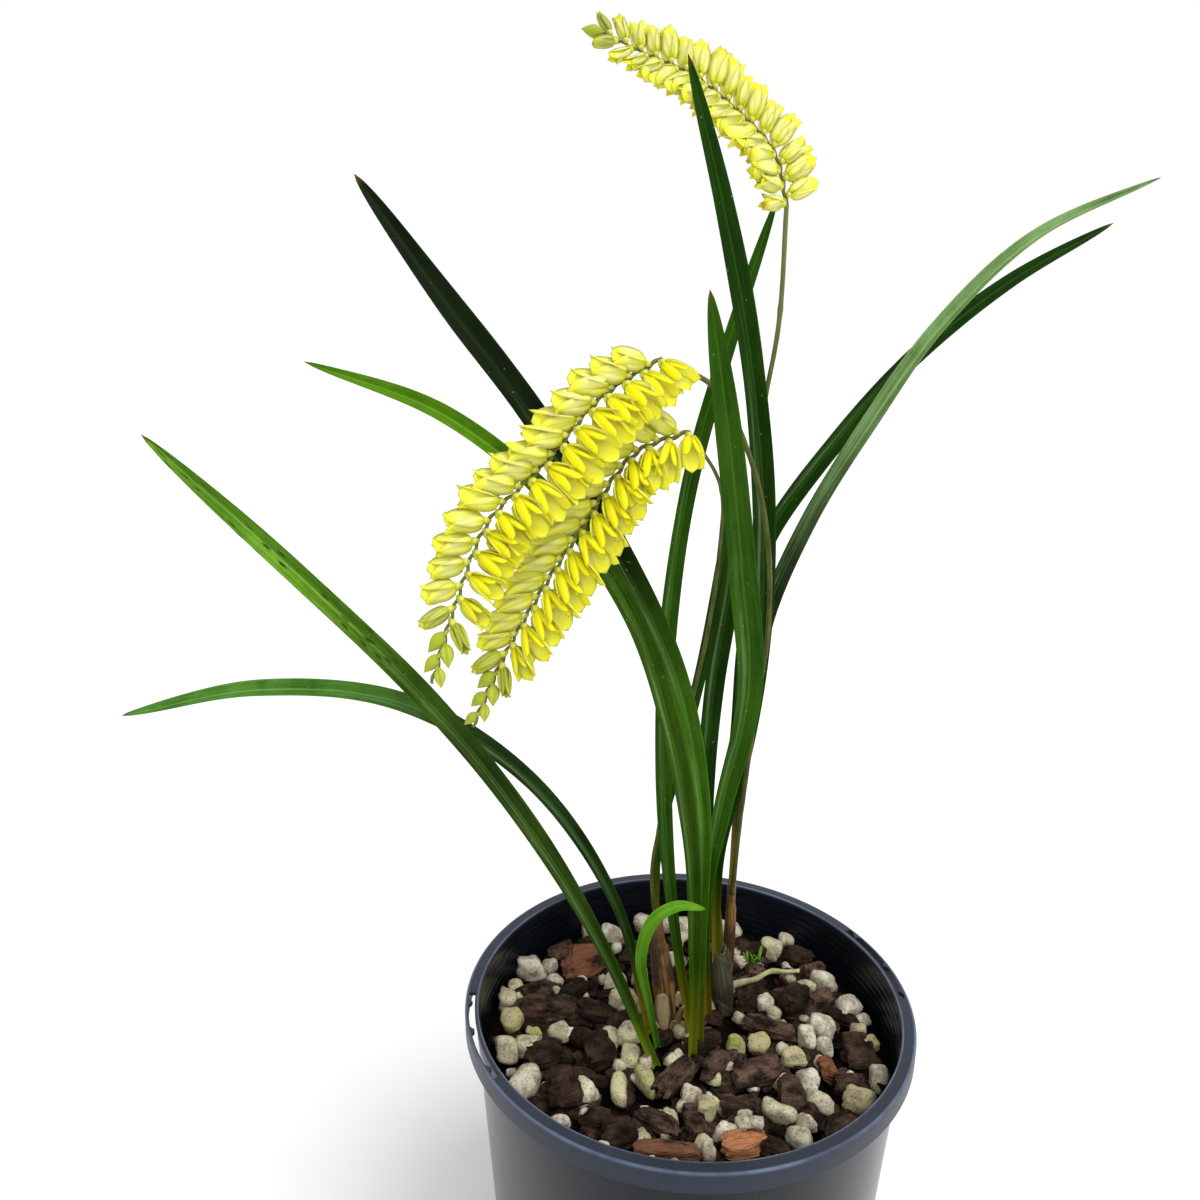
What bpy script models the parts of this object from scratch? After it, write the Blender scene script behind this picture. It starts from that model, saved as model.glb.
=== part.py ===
"""Chain orchid in a round plastic nursery pot.

The frame has its origin at the middle of the pot's base, +Z up and the front towards -Y.
Lengths below are millimetres; MM turns them into Blender's metres.
Heights of the plant and of the loose pieces are counted up from the top of the potting mix.
"""
import math
import random

import bmesh
import bpy
import numpy as np

MM = 0.001
CLEARANCE = 0.3             # gap between pieces that touch

# Pot
POT_RIM_RADIUS = 62.5
POT_HEIGHT = 115.0
POT_BASE_RADIUS = 52.0
POT_WALL = 1.0
POT_FLOOR = 1.8
RIM_WIDTH = 3.8             # flat top of the rim, from its outer edge to the mouth
RIM_SKIRT = 5.6             # height of the turned-down band
RIM_THICK = 1.1
RIM_ROUND = 0.5
SLOT_INSET = 1.25           # from the rim's outer edge to the slot
SLOT_WIDTH = 2.1
SLOT_STARTS = (181.0, -3.0)  # degrees round from +X
SLOT_SWEEP = 33.0
SLOT_TEETH = 3
TOOTH_DEPTH = 1.3
TOOTH_SWEEP = 2.2
DRAIN_HOLES = 6
DRAIN_RADIUS = 4.0
DRAIN_RING = 36.0
POT_SEGMENTS = 60

# Potting mix
MIX_DROP = 16.0             # from the rim down to the packed mix
MIX_TOP = POT_HEIGHT - MIX_DROP
WALL_RUN = (POT_RIM_RADIUS - RIM_WIDTH - POT_BASE_RADIUS + POT_WALL) / POT_HEIGHT
MIX_TOP_RADIUS = POT_BASE_RADIUS - POT_WALL + WALL_RUN * MIX_TOP - CLEARANCE
MIX_BASE_RADIUS = POT_BASE_RADIUS - POT_WALL + WALL_RUN * POT_FLOOR - CLEARANCE
SPREAD = MIX_TOP_RADIUS / 56.6       # how far the planting is spread over the pot

# Plant
PLANT_HEIGHT = 257.0        # tallest leaf tip above the mix
RISE = PLANT_HEIGHT / 257.0
LEAF_EDGE = 0.45            # blade thickness at its edges
LEAF_KEEL = 1.0             # blade thickness along the midrib
LINE_SHARE = 0.4            # of the blade's depth, that lies above the leaf's line
LEAF_STATIONS = 22
STEM_RADIUS = 0.6
STEM_SIDES = 6
RACHIS_RADIUS = 0.65
FLORET_PITCH = 3.3          # along the rachis, from one floret to the next
FLORET_LENGTH = 10.5
FLORET_WIDTH = 6.4
FLORET_DEPTH = 5.2
FLORET_DROOP = 0.3
BUD_SHARE = 0.42            # size of the last bud beside a full floret

TOWARDS_FRONT = (0.0, -1.0, 0.35)

# name: width, share of the length where it is reached, fold in degrees, way the upper face
# looks, and the line that the leaf follows
LEAVES = {
    "leaf_long_left": (5.2, 0.5, 26, (0.2, -1.0, 0.45), [
        (-9, -11.2, 0.3), (-24, -15, 40.5), (-42.5, -19.5, 78), (-65, -25, 113),
        (-91.5, -31, 145), (-119, -38, 176)]),
    "leaf_low_left": (5.0, 0.7, 24, (0.0, -0.9, 0.5), [
        (-9.8, 1.8, 0.3), (-20.5, 5, 41.5), (-44, 8, 77), (-78.5, 11.5, 98),
        (-119, 15, 100.5), (-159.5, 18, 91)]),
    "leaf_young": (3.4, 0.6, 30, (0.1, -1.0, 0.7), [
        (-8.2, -3.6, 0.3), (-11, -6.5, 19), (-14.5, -9.5, 35), (-11.5, -12.5, 52.5), (2, -16, 55)]),
    "leaf_dark_left": (7.8, 0.75, 20, (0.25, -1.0, 0.3), [
        (3.4, -4.4, 0.3), (2.6, -4.2, 39.5), (1.6, -3.4, 76.5), (-6.5, -0.3, 112.5),
        (-22.5, 4, 144.5), (-42.5, 9.5, 175.5), (-65, 15.5, 204), (-87, 22, 233)]),
    "leaf_arching_left": (5.0, 0.4, 26, (0.15, -1.0, 0.4), [
        (1.2, -8, 0.3), (0.5, -7.3, 35), (-1.5, -7.6, 67.5), (-7.5, -8.2, 99.5), (-18, -9, 130.5),
        (-36.5, -10, 157.5), (-61.5, -12, 178), (-92, -14, 189.5)]),
    "leaf_tallest": (5.7, 0.5, 20, (0.0, -1.0, 0.1), [
        (9.6, 13.6, 16.5), (9, 13.5, 51), (15, 13.5, 86), (17.5, 12.5, 121), (16, 11.5, 155.5),
        (11, 10.5, 190), (3, 9.5, 224), (-7, 8, 257)]),
    "leaf_broad_front": (6.4, 0.6, 18, (0.0, -1.0, 0.1), [
        (7.4, 8.2, 0.3), (4.5, 5, 41.5), (8, 2, 74), (12.5, -3.5, 108), (8.5, -10, 140.5),
        (3, -17, 173.5), (-3.5, -25, 205.5)]),
    "leaf_back": (4.7, 0.4, 26, (0.0, -1.0, 0.2), [
        (1.8, 1, 0.3), (-4.8, 5, 42.5), (-7.7, 10.5, 81.5), (-6.8, 18.5, 120), (-1.4, 27.5, 158),
        (8.8, 36, 195), (21, 45, 231.5)]),
    "leaf_inner": (5.2, 0.4, 22, (0.0, -1.0, 0.1), [
        (5, 12.2, 0.3), (4.5, 9.5, 44.5), (4, 10, 75), (5.5, 11, 105.5), (9, 12, 136.5),
        (8, 13, 165.5), (2.5, 14, 196)]),
    "leaf_inner_slim": (3.6, 0.4, 30, (0.0, -1.0, 0.1), [
        (-8.4, 13.4, 28.5), (-8, 16.9, 54), (-2.5, 19.9, 80.5), (3, 22, 106), (7.5, 25, 132),
        (10.5, 27, 158.5), (7, 28, 184)]),
    "leaf_right_outer": (4.5, 0.3, 26, (-0.1, -1.0, 0.35), [
        (14.6, 21.4, 36), (15.3, 20.3, 65), (17, 19.8, 93), (19.8, 18.6, 121.5), (29.3, 17, 148.5),
        (42, 14, 173.5), (56.5, 10, 198), (75.5, 6, 218.5), (100.5, 2, 231)]),
    "leaf_right_inner": (5.0, 0.5, 24, (-0.1, -1.0, 0.3), [
        (8.7, 18.6, 16.5), (9, 22, 48.5), (14, 25.8, 80), (16, 29.6, 111.5), (20.5, 32, 139),
        (39.5, 35.5, 167.5), (60, 38.5, 190.5), (84.5, 42, 210), (112, 45, 225.5)]),
}
PETIOLE_WIDTH = 2.6
PETIOLE_FOLD = 46           # degrees, where a leaf leaves its base
TIP_POWER = 12
TIP_BLUNT = 0.6

# name: route of the bare stalk
STEMS = {
    "flower_stem_low": [
        (14.2, 18.3, 36), (14.5, 13.8, 58), (15.3, 10, 79.5), (16.5, 7.2, 100.5), (18, 5, 122),
        (16.5, 1.5, 143), (11.5, -3, 163.5), (1, -11, 183.5), (-13.2, -19.5, 191)],
    "flower_stem_middle": [
        (-8.6, 10.4, 28.5), (-10, 12.6, 47.5), (-7, 12.6, 67), (-3.5, 10.2, 86.5), (0, 7.3, 105.5),
        (2.5, 3.2, 124), (3.5, -2.2, 143), (2.5, -9, 161.5), (-6.1, -16.4, 175.3)],
    "flower_stem_high": [
        (12, 16.8, 16.5), (9.5, 18.6, 47.5), (14.8, 22.9, 77), (18.5, 24, 107.5),
        (19.5, 25.5, 138), (17, 27, 169.5), (20.5, 28.5, 199.5), (21, 30, 228)],
}
# name: way the rachis shows its front, and its route from the stalk to the last bud
RACEMES = {
    "raceme_low": (TOWARDS_FRONT, [
        (-14.5, -20, 191), (-26, -25.5, 183), (-37.5, -32, 170), (-49, -38.5, 158.5),
        (-55, -45.5, 143.5), (-59.5, -52, 128)]),
    "raceme_middle": (TOWARDS_FRONT, [
        (-7, -17, 176), (-19, -20, 170), (-30.5, -24, 153.5), (-39, -27.5, 140.5),
        (-47, -30.5, 126.5), (-54, -34, 111)]),
    "raceme_high": ((0.5, -0.7, 0.5), [
        (21, 30, 229.5), (17, 30, 240.5), (6, 30.5, 251), (-4.5, 30.5, 258), (-17, 31, 263),
        (-29.5, 31, 268.5)]),
}

# name: foot, head, widest radius, radius at the head
BULBS = {
    "pseudobulb_left": ((-4.5, 7, 0.3), (-8.5, 11.9, 28.2), 3.8, 2.9),
    "pseudobulb_right": ((12.8, 12.2, 0.3), (10.3, 16, 16.2), 4.4, 4.1),
    "sheath_right": ((14.6, 22.2, 0.3), (14.4, 20.1, 35.7), 2.2, 2.7),
}

AERIAL_ROOT = [(17.2, 19.6, 4.5), (22, 17.5, 8.0), (28, 16.4, 11.2), (35, 14.5, 13.2)]
ROOT_RADIUS = 0.85

# place on the mix, then length, width, thickness, turn and lean in degrees
BARK = [
    (-29, 30, 14, 12, 4.5, 15, 32), (-40, 9.5, 17, 8, 5, 8, 8), (-26, 7.5, 12, 7, 5, -15, 5),
    (-40, -10, 11, 9, 5, 20, 12), (-25, -8.5, 9, 11, 4.5, 25, 15), (-4.5, -18.5, 16, 7, 5, 50, 14),
    (8.5, -12.5, 14, 6, 5, 48, 10), (18.5, -16.5, 16, 9, 5.5, 14, 12), (-9.5, -33, 13, 6, 4.5, -35, 5),
    (-20, -37, 9.5, 9, 5, 20, 10), (-7.5, -42, 16, 6, 4.5, 0, 0), (11, -40.5, 12, 7.5, 5, 8, 10),
    (48, -8, 9.5, 13, 4.5, 6, 8), (36.5, -35, 9, 8, 5, 30, 8), (33, 12.5, 11, 8.5, 7, 65, 10),
    (25, 1.5, 16, 6, 5, -24, 5), (38, 34, 11, 7, 5, -25, 10),
]
# place on the mix, then length, width, height and turn in degrees
PUMICE = [
    (-46, 26, 8.5, 8, 7, 20), (-50.5, 4, 7, 8, 6, 0), (-50, -8.5, 6.5, 8, 6.5, 10),
    (-36.5, -0.5, 7, 5.5, 5.5, 15), (-44.5, -21.5, 8.5, 10.5, 7, -30), (-29, -23.5, 9, 8.5, 6, 35),
    (-19.5, -21.5, 5, 11, 5, -5), (-16.5, -2.5, 7.5, 8.5, 7, 0), (-17.5, 14, 9.5, 7, 6, 10),
    (44, 23, 9, 6.5, 6, -20), (49.3, 11, 8.5, 8, 6.5, 15), (40, 1.5, 8, 8, 6, 0),
    (31.5, -18, 7.5, 6, 5, 20), (43.5, -27, 8.5, 7, 6, -25), (25.5, -38.5, 7, 7, 6, 0),
    (18, 48.5, 10, 6.5, 5.5, -12),
]


def clear_scene():
    """Remove every object that the file opened with."""
    for obj in list(bpy.data.objects):
        bpy.data.objects.remove(obj, do_unlink=True)


def material(name, colour, roughness, metallic=0.0):
    """A plain Principled material."""
    mat = bpy.data.materials.new(name)
    mat.use_nodes = True
    shader = mat.node_tree.nodes["Principled BSDF"]
    shader.inputs["Base Color"].default_value = (*colour, 1.0)
    shader.inputs["Roughness"].default_value = roughness
    shader.inputs["Metallic"].default_value = metallic
    mat.diffuse_color = (*colour, 1.0)
    return mat


def object_from(name, bm, mat, sharp=None):
    """Turn a bmesh in millimetres into a named object in metres, faces out."""
    bmesh.ops.recalc_face_normals(bm, faces=bm.faces)
    bmesh.ops.scale(bm, vec=(MM, MM, MM), verts=bm.verts)
    mesh = bpy.data.meshes.new(name)
    bm.to_mesh(mesh)
    bm.free()
    mesh.materials.append(mat)
    mesh.shade_smooth()
    if sharp is not None:
        mesh.set_sharp_from_angle(angle=math.radians(sharp))
    obj = bpy.data.objects.new(name, mesh)
    bpy.context.scene.collection.objects.link(obj)
    return obj


def hide_cutter(obj):
    """Keep a cutter out of the model, drawn as wire."""
    obj.hide_render = True
    obj.display_type = "WIRE"
    return obj


def turned(name, outline, mat, segments=POT_SEGMENTS):
    """Spin an (r, z) outline round the Z axis into a closed body."""
    bm = bmesh.new()
    verts = [bm.verts.new((r, 0.0, z)) for r, z in outline]
    pairs = list(zip(verts, verts[1:]))
    if outline[0][0] > 0.0:
        pairs.append((verts[-1], verts[0]))
    edges = [bm.edges.new(pair) for pair in pairs]
    bmesh.ops.spin(bm, geom=verts + edges, cent=(0, 0, 0), axis=(0, 0, 1),
                   angle=math.tau, steps=segments, use_duplicate=False)
    bmesh.ops.remove_doubles(bm, verts=bm.verts, dist=0.01)
    return object_from(name, bm, mat, sharp=40)


def lofted(name, rings, mat):
    """Join equal closed rings of points, in order, into a capped body."""
    bm = bmesh.new()
    loops = [[bm.verts.new(point) for point in ring] for ring in rings]
    count = len(loops[0])
    for lower, upper in zip(loops, loops[1:]):
        for i in range(count):
            j = (i + 1) % count
            bm.faces.new((lower[i], lower[j], upper[j], upper[i]))
    bm.faces.new(loops[0])
    bm.faces.new(loops[-1])
    return object_from(name, bm, mat, sharp=50)


def planted(point):
    """A point given from the top of the mix, moved into the pot's frame."""
    x, y, z = point
    return np.array((x * SPREAD, y * SPREAD, MIX_TOP + CLEARANCE + (z - CLEARANCE) * RISE))


def smooth_route(points, stations):
    """Points along a smooth curve through the given ones, with its unit tangents."""
    knots = np.array([planted(p) for p in points])
    knots = np.vstack((2 * knots[0] - knots[1], knots, 2 * knots[-1] - knots[-2]))
    spans = len(points) - 1
    places = np.linspace(0.0, spans, stations)
    starts = np.minimum(places.astype(int), spans - 1)
    t = (places - starts)[:, None]
    a, b, c, d = (knots[starts + k] for k in range(4))
    curve = 0.5 * (2 * b + (c - a) * t + (2 * a - 5 * b + 4 * c - d) * t ** 2
                   + (3 * b - a - 3 * c + d) * t ** 3)
    slope = 0.5 * ((c - a) + 2 * (2 * a - 5 * b + 4 * c - d) * t
                   + 3 * (3 * b - a - 3 * c + d) * t ** 2)
    return curve, slope / np.linalg.norm(slope, axis=1)[:, None]


def facing_frame(tangents, facing):
    """Side and upward directions across a route, the upward one turned to facing."""
    side = np.cross(tangents, np.array(facing))
    side /= np.linalg.norm(side, axis=1)[:, None]
    return side, np.cross(side, tangents)


def smoothstep(x):
    """Ease from 0 to 1."""
    x = np.clip(x, 0.0, 1.0)
    return x * x * (3 - 2 * x)


def leaf(name, mat):
    """A strap leaf: narrow folded stalk, channelled blade and pointed tip."""
    width, widen, fold, facing, route = LEAVES[name]
    centre, tangent = smooth_route(route, LEAF_STATIONS)
    side, up = facing_frame(tangent, facing)
    rings = []
    for i, s in enumerate(np.linspace(0.0, 1.0, LEAF_STATIONS)):
        opened = float(smoothstep(s / widen))
        taper = max(1.0 - s ** TIP_POWER, 0.0) ** TIP_BLUNT
        half = 0.5 * (PETIOLE_WIDTH + (width - PETIOLE_WIDTH) * opened) * max(taper, 0.06)
        deep = half * math.tan(math.radians(PETIOLE_FOLD + (fold - PETIOLE_FOLD) * opened))
        thin = max(taper, 0.35)
        edge = LINE_SHARE * (deep + LEAF_KEEL * thin)
        section = [(-half, edge), (0.0, edge - deep), (half, edge), (half, edge - LEAF_EDGE * thin),
                   (0.0, edge - deep - LEAF_KEEL * thin), (-half, edge - LEAF_EDGE * thin)]
        rings.append([centre[i] + side[i] * u + up[i] * v for u, v in section])
    rings[0] = [(x, y, foot_height(route)) for x, y, _ in rings[0]]
    return lofted(name, rings, mat)


def foot_height(route):
    """The height at which a leaf or stalk starts, cut level."""
    return planted(route[0])[2]


def tube_rings(route, stations, radius, sides=STEM_SIDES, level_foot=True, facing=TOWARDS_FRONT):
    """Rings of a round tube along a smooth route."""
    centre, tangent = smooth_route(route, stations)
    side, up = facing_frame(tangent, facing)
    angles = np.arange(sides) * math.tau / sides
    rings = [[c + s * radius * math.cos(a) + u * radius * math.sin(a) for a in angles]
             for c, s, u in zip(centre, side, up)]
    if level_foot:
        rings[0] = [(x, y, foot_height(route)) for x, y, _ in rings[0]]
    return rings


def flower_stem(name, mat):
    """A thin bare stalk."""
    route = STEMS[name]
    return lofted(name, tube_rings(route, 2 * len(route) + 4, STEM_RADIUS), mat)


def floret_body(name, root, out, across, length, width, depth, mat):
    """A plump pointed body of five sides, from the rachis outwards."""
    out = out / np.linalg.norm(out)
    across = across - out * float(across @ out)
    across /= np.linalg.norm(across)
    third = np.cross(out, across)
    bm = bmesh.new()
    foot = bm.verts.new(root - out * RACHIS_RADIUS * 1.4)
    tip = bm.verts.new(root + out * length)
    loops = []
    for along, girth in ((0.3, 0.8), (0.68, 1.0)):
        ring = []
        for k in range(5):
            turn = (k + 0.5) * math.tau / 5
            ring.append(bm.verts.new(
                root + out * (length * along)
                + across * (0.5 * width * girth * math.cos(turn))
                + third * (0.5 * depth * girth * math.sin(turn))))
        loops.append(ring)
    for k in range(5):
        j = (k + 1) % 5
        bm.faces.new((foot, loops[0][j], loops[0][k]))
        bm.faces.new((loops[0][k], loops[0][j], loops[1][j], loops[1][k]))
        bm.faces.new((loops[1][k], loops[1][j], tip))
    return hide_cutter(object_from(name, bm, mat))


def raceme(name, mat):
    """Two ranks of florets on a thin rachis, joined into one body."""
    facing, route = RACEMES[name]
    fine, _ = smooth_route(route, 200)
    length = float(np.linalg.norm(np.diff(fine, axis=0), axis=1).sum())
    count = int(length / FLORET_PITCH)
    centre, tangent = smooth_route(route, count)
    side, up = facing_frame(tangent, facing)
    rachis = lofted(name, tube_rings(route, 12, RACHIS_RADIUS, 6, False, facing), mat)
    florets = bpy.data.collections.new(name + "_florets")
    for i in range(1, count):
        share = i / (count - 1)
        size = (0.8 + 0.2 * smoothstep(share * 6)) * (1 - (1 - BUD_SHARE) * smoothstep(
            (share - 0.55) / 0.45))
        hand = 1.0 if i % 2 else -1.0
        out = side[i] * hand + tangent[i] * 0.5 + up[i] * 0.15 - np.array((0, 0, FLORET_DROOP))
        body = floret_body(f"{name}_floret_{i:02d}", centre[i], out, tangent[i],
                           FLORET_LENGTH * size, FLORET_WIDTH * size, FLORET_DEPTH * size, mat)
        florets.objects.link(body)
        bpy.context.scene.collection.objects.unlink(body)
    bpy.context.scene.collection.children.link(florets)
    union = rachis.modifiers.new("florets", "BOOLEAN")
    union.operation = "UNION"
    union.operand_type = "COLLECTION"
    union.collection = florets
    union.solver = "EXACT"
    return rachis


def bulb(name, mat):
    """A slender swollen base, round in section, with level ends."""
    foot, head, widest, neck = BULBS[name]
    low, high = planted(foot), planted(head)
    rings = []
    for s in np.linspace(0.0, 1.0, 8):
        swollen = widest * (0.7 + 0.3 * math.sin(math.pi * min(s / 0.7, 1.0) * 0.5))
        radius = swollen + (neck - swollen) * float(smoothstep((s - 0.35) / 0.65))
        centre = low + (high - low) * s
        rings.append([(centre[0] + radius * math.cos(a), centre[1] + radius * math.sin(a), centre[2])
                      for a in np.arange(12) * math.tau / 12])
    return lofted(name, rings, mat)


def papery_scale(name, mat):
    """A torn dry scale standing in front of the left pseudobulb."""
    low = planted((-5.2, 1.4, 0.3))
    rings = []
    for s, half in ((0.0, 2.2), (0.4, 2.6), (0.75, 1.7), (1.0, 0.3)):
        z = low[2] + 17.0 * s
        bow = 1.2 * math.sin(math.pi * s)
        rings.append([(low[0] - half, low[1] - bow + 0.5, z), (low[0], low[1] - bow - 0.3, z),
                      (low[0] + half, low[1] - bow + 0.5, z), (low[0] + half, low[1] - bow + 0.9, z),
                      (low[0], low[1] - bow + 0.2, z), (low[0] - half, low[1] - bow + 0.9, z)])
    return lofted(name, rings, mat)


def on_mix(name, points, place, angles, mat):
    """The hull of some points, turned and set down on the mix."""
    bm = bmesh.new()
    for point in points:
        bm.verts.new(point)
    hull = bmesh.ops.convex_hull(bm, input=bm.verts)
    inside = [g for g in hull["geom_interior"] + hull["geom_unused"] if isinstance(g, bmesh.types.BMVert)]
    bmesh.ops.delete(bm, geom=list(set(inside)), context="VERTS")
    turn, lean = (math.radians(a) for a in angles)
    for vert in bm.verts:
        x, y, z = vert.co
        y, z = y * math.cos(lean) - z * math.sin(lean), y * math.sin(lean) + z * math.cos(lean)
        vert.co = (x * math.cos(turn) - y * math.sin(turn), x * math.sin(turn) + y * math.cos(turn), z)
    base = MIX_TOP + CLEARANCE - min(vert.co.z for vert in bm.verts)
    for vert in bm.verts:
        vert.co.x = vert.co.x * SPREAD + place[0] * SPREAD
        vert.co.y = vert.co.y * SPREAD + place[1] * SPREAD
        vert.co.z += base
    return object_from(name, bm, mat)


def bark_chip(index, mat):
    """A rough slab of bark."""
    x, y, length, width, thick, turn, lean = BARK[index]
    rng = random.Random(100 + index)
    points = []
    for sx in (-1, -0.25, 0.35, 1):
        for sy in (-1, 1):
            for sz in (-1, 1):
                reach = 0.5 * (1 - 0.22 * rng.random())
                side = 0.5 * (1 - 0.3 * rng.random()) * (0.75 if abs(sx) == 1 else 1.0)
                points.append((sx * length * reach, sy * width * side,
                               sz * thick * (0.5 - 0.14 * rng.random())))
    return on_mix(f"bark_chip_{index + 1:02d}", points, (x, y), (turn, lean), mat)


def pumice_piece(index, mat):
    """A rounded lump of pumice."""
    x, y, length, width, height, turn = PUMICE[index]
    rng = random.Random(300 + index)
    count = 22
    points = []
    for k in range(count):
        z = 1 - (2 * k + 1) / count
        ring = math.sqrt(1 - z * z)
        angle = k * math.pi * (3 - math.sqrt(5))
        bump = 0.5 * (0.86 + 0.14 * rng.random())
        points.append((ring * math.cos(angle) * length * bump, ring * math.sin(angle) * width * bump,
                       z * height * bump))
    return on_mix(f"pumice_{index + 1:02d}", points, (x, y), (turn, 0), mat)


def pot_outline():
    """The pot's wall, floor and turned-down rim as one (r, z) loop, from the axis round to it."""
    top = POT_HEIGHT
    under = top - RIM_THICK
    mouth = POT_RIM_RADIUS - RIM_WIDTH
    outer_top = POT_BASE_RADIUS + WALL_RUN * under
    skirt_in = POT_RIM_RADIUS - RIM_THICK
    inner = POT_BASE_RADIUS - POT_WALL
    return [
        (0.0, 0.0), (POT_BASE_RADIUS - 1.2, 0.0), (POT_BASE_RADIUS, 1.2),
        (outer_top, under), (skirt_in, under), (skirt_in, top - RIM_SKIRT),
        (POT_RIM_RADIUS - 0.25, top - RIM_SKIRT), (POT_RIM_RADIUS, top - RIM_SKIRT + 0.4),
        (POT_RIM_RADIUS, top - 2 * RIM_ROUND), (POT_RIM_RADIUS - RIM_ROUND, top - 0.3 * RIM_ROUND),
        (POT_RIM_RADIUS - 2 * RIM_ROUND, top), (mouth, top),
        (inner + WALL_RUN * (top - 0.8), top - 0.8), (inner + WALL_RUN * POT_FLOOR, POT_FLOOR),
        (0.0, POT_FLOOR),
    ]


def slot_cutter(index, start, mat):
    """A curved block for one rim slot, with small teeth left on its outer side."""
    outer = POT_RIM_RADIUS - SLOT_INSET
    inner = outer - SLOT_WIDTH
    outline = [(inner, start), (outer, start)]
    for k in range(SLOT_TEETH):
        middle = start + SLOT_SWEEP * (k + 0.5) / SLOT_TEETH
        outline += [(outer, middle - TOOTH_SWEEP / 2), (outer - TOOTH_DEPTH, middle),
                    (outer, middle + TOOTH_SWEEP / 2), (outer, middle + SLOT_SWEEP / 2 / SLOT_TEETH)]
    outline += [(inner, start + SLOT_SWEEP * share) for share in (1.0, 0.8, 0.6, 0.4, 0.2)]
    bm = bmesh.new()
    low, high = POT_HEIGHT - RIM_THICK - 1.0, POT_HEIGHT + 1.0
    face = bm.faces.new([bm.verts.new((r * math.cos(math.radians(a)), r * math.sin(math.radians(a)), low))
                         for r, a in outline])
    extruded = bmesh.ops.extrude_face_region(bm, geom=[face])
    lifted = [g for g in extruded["geom"] if isinstance(g, bmesh.types.BMVert)]
    bmesh.ops.translate(bm, vec=(0, 0, high - low), verts=lifted)
    return hide_cutter(object_from(f"slot_cutter_{index}", bm, mat))


def drain_cutter(index, mat):
    """A round peg for one drain hole in the floor."""
    angle = math.tau * (index + 0.5) / DRAIN_HOLES
    bm = bmesh.new()
    bmesh.ops.create_cone(bm, cap_ends=True, segments=12, radius1=DRAIN_RADIUS, radius2=DRAIN_RADIUS,
                          depth=POT_FLOOR * 3)
    bmesh.ops.translate(bm, verts=bm.verts, vec=(
        DRAIN_RING * math.cos(angle), DRAIN_RING * math.sin(angle), POT_FLOOR / 2))
    return hide_cutter(object_from(f"drain_cutter_{index}", bm, mat))


def pot(mat):
    """The nursery pot with its slotted rim and drain holes."""
    body = turned("pot", pot_outline(), mat)
    cutters = [slot_cutter(i, start, mat) for i, start in enumerate(SLOT_STARTS)]
    cutters += [drain_cutter(i, mat) for i in range(DRAIN_HOLES)]
    for cutter in cutters:
        cut = body.modifiers.new(cutter.name, "BOOLEAN")
        cut.operation = "DIFFERENCE"
        cut.object = cutter
        cut.solver = "EXACT"
    return body


def potting_mix(mat):
    """The packed mix, filling the pot to just below its rim."""
    return turned("potting_mix", [
        (0.0, POT_FLOOR + CLEARANCE), (MIX_BASE_RADIUS, POT_FLOOR + CLEARANCE),
        (MIX_TOP_RADIUS, MIX_TOP), (0.0, MIX_TOP)], mat)


def main():
    """Build every piece."""
    clear_scene()
    pot_plastic = material("pot_plastic", (0.03, 0.035, 0.05), 0.38)
    mix_dark = material("mix_dark", (0.03, 0.02, 0.014), 0.95)
    bark_brown = material("bark_brown", (0.12, 0.06, 0.035), 0.85)
    pumice_pale = material("pumice_pale", (0.62, 0.58, 0.45), 0.9)
    leaf_green = material("leaf_green", (0.035, 0.12, 0.015), 0.4)
    young_green = material("young_green", (0.16, 0.36, 0.03), 0.4)
    stem_olive = material("stem_olive", (0.16, 0.13, 0.03), 0.5)
    flower_yellow = material("flower_yellow", (0.8, 0.75, 0.08), 0.55)
    sheath_brown = material("sheath_brown", (0.36, 0.2, 0.04), 0.6)
    bulb_green = material("bulb_green", (0.2, 0.22, 0.12), 0.6)
    root_pale = material("root_pale", (0.55, 0.55, 0.3), 0.7)
    pot(pot_plastic)
    potting_mix(mix_dark)
    for name in LEAVES:
        leaf(name, young_green if name == "leaf_young" else leaf_green)
    for name in STEMS:
        flower_stem(name, stem_olive)
    for name in RACEMES:
        raceme(name, flower_yellow)
    for name in BULBS:
        bulb(name, bulb_green if name == "pseudobulb_right" else sheath_brown)
    papery_scale("papery_scale", sheath_brown)
    lofted("aerial_root", tube_rings(AERIAL_ROOT, 10, ROOT_RADIUS, 8, False), root_pale)
    for index in range(len(BARK)):
        bark_chip(index, bark_brown)
    for index in range(len(PUMICE)):
        pumice_piece(index, pumice_pale)


main()
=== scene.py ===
"""Looks of a chain orchid in a round plastic nursery pot.

Every piece is worked out with numpy on a grid of two parameters and stands for one or more
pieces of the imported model. Sizes in the tables are millimetres; MM turns them into metres.
Heights of the plant and of the loose pieces are counted up from the top of the potting mix.
"""
import math

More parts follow.
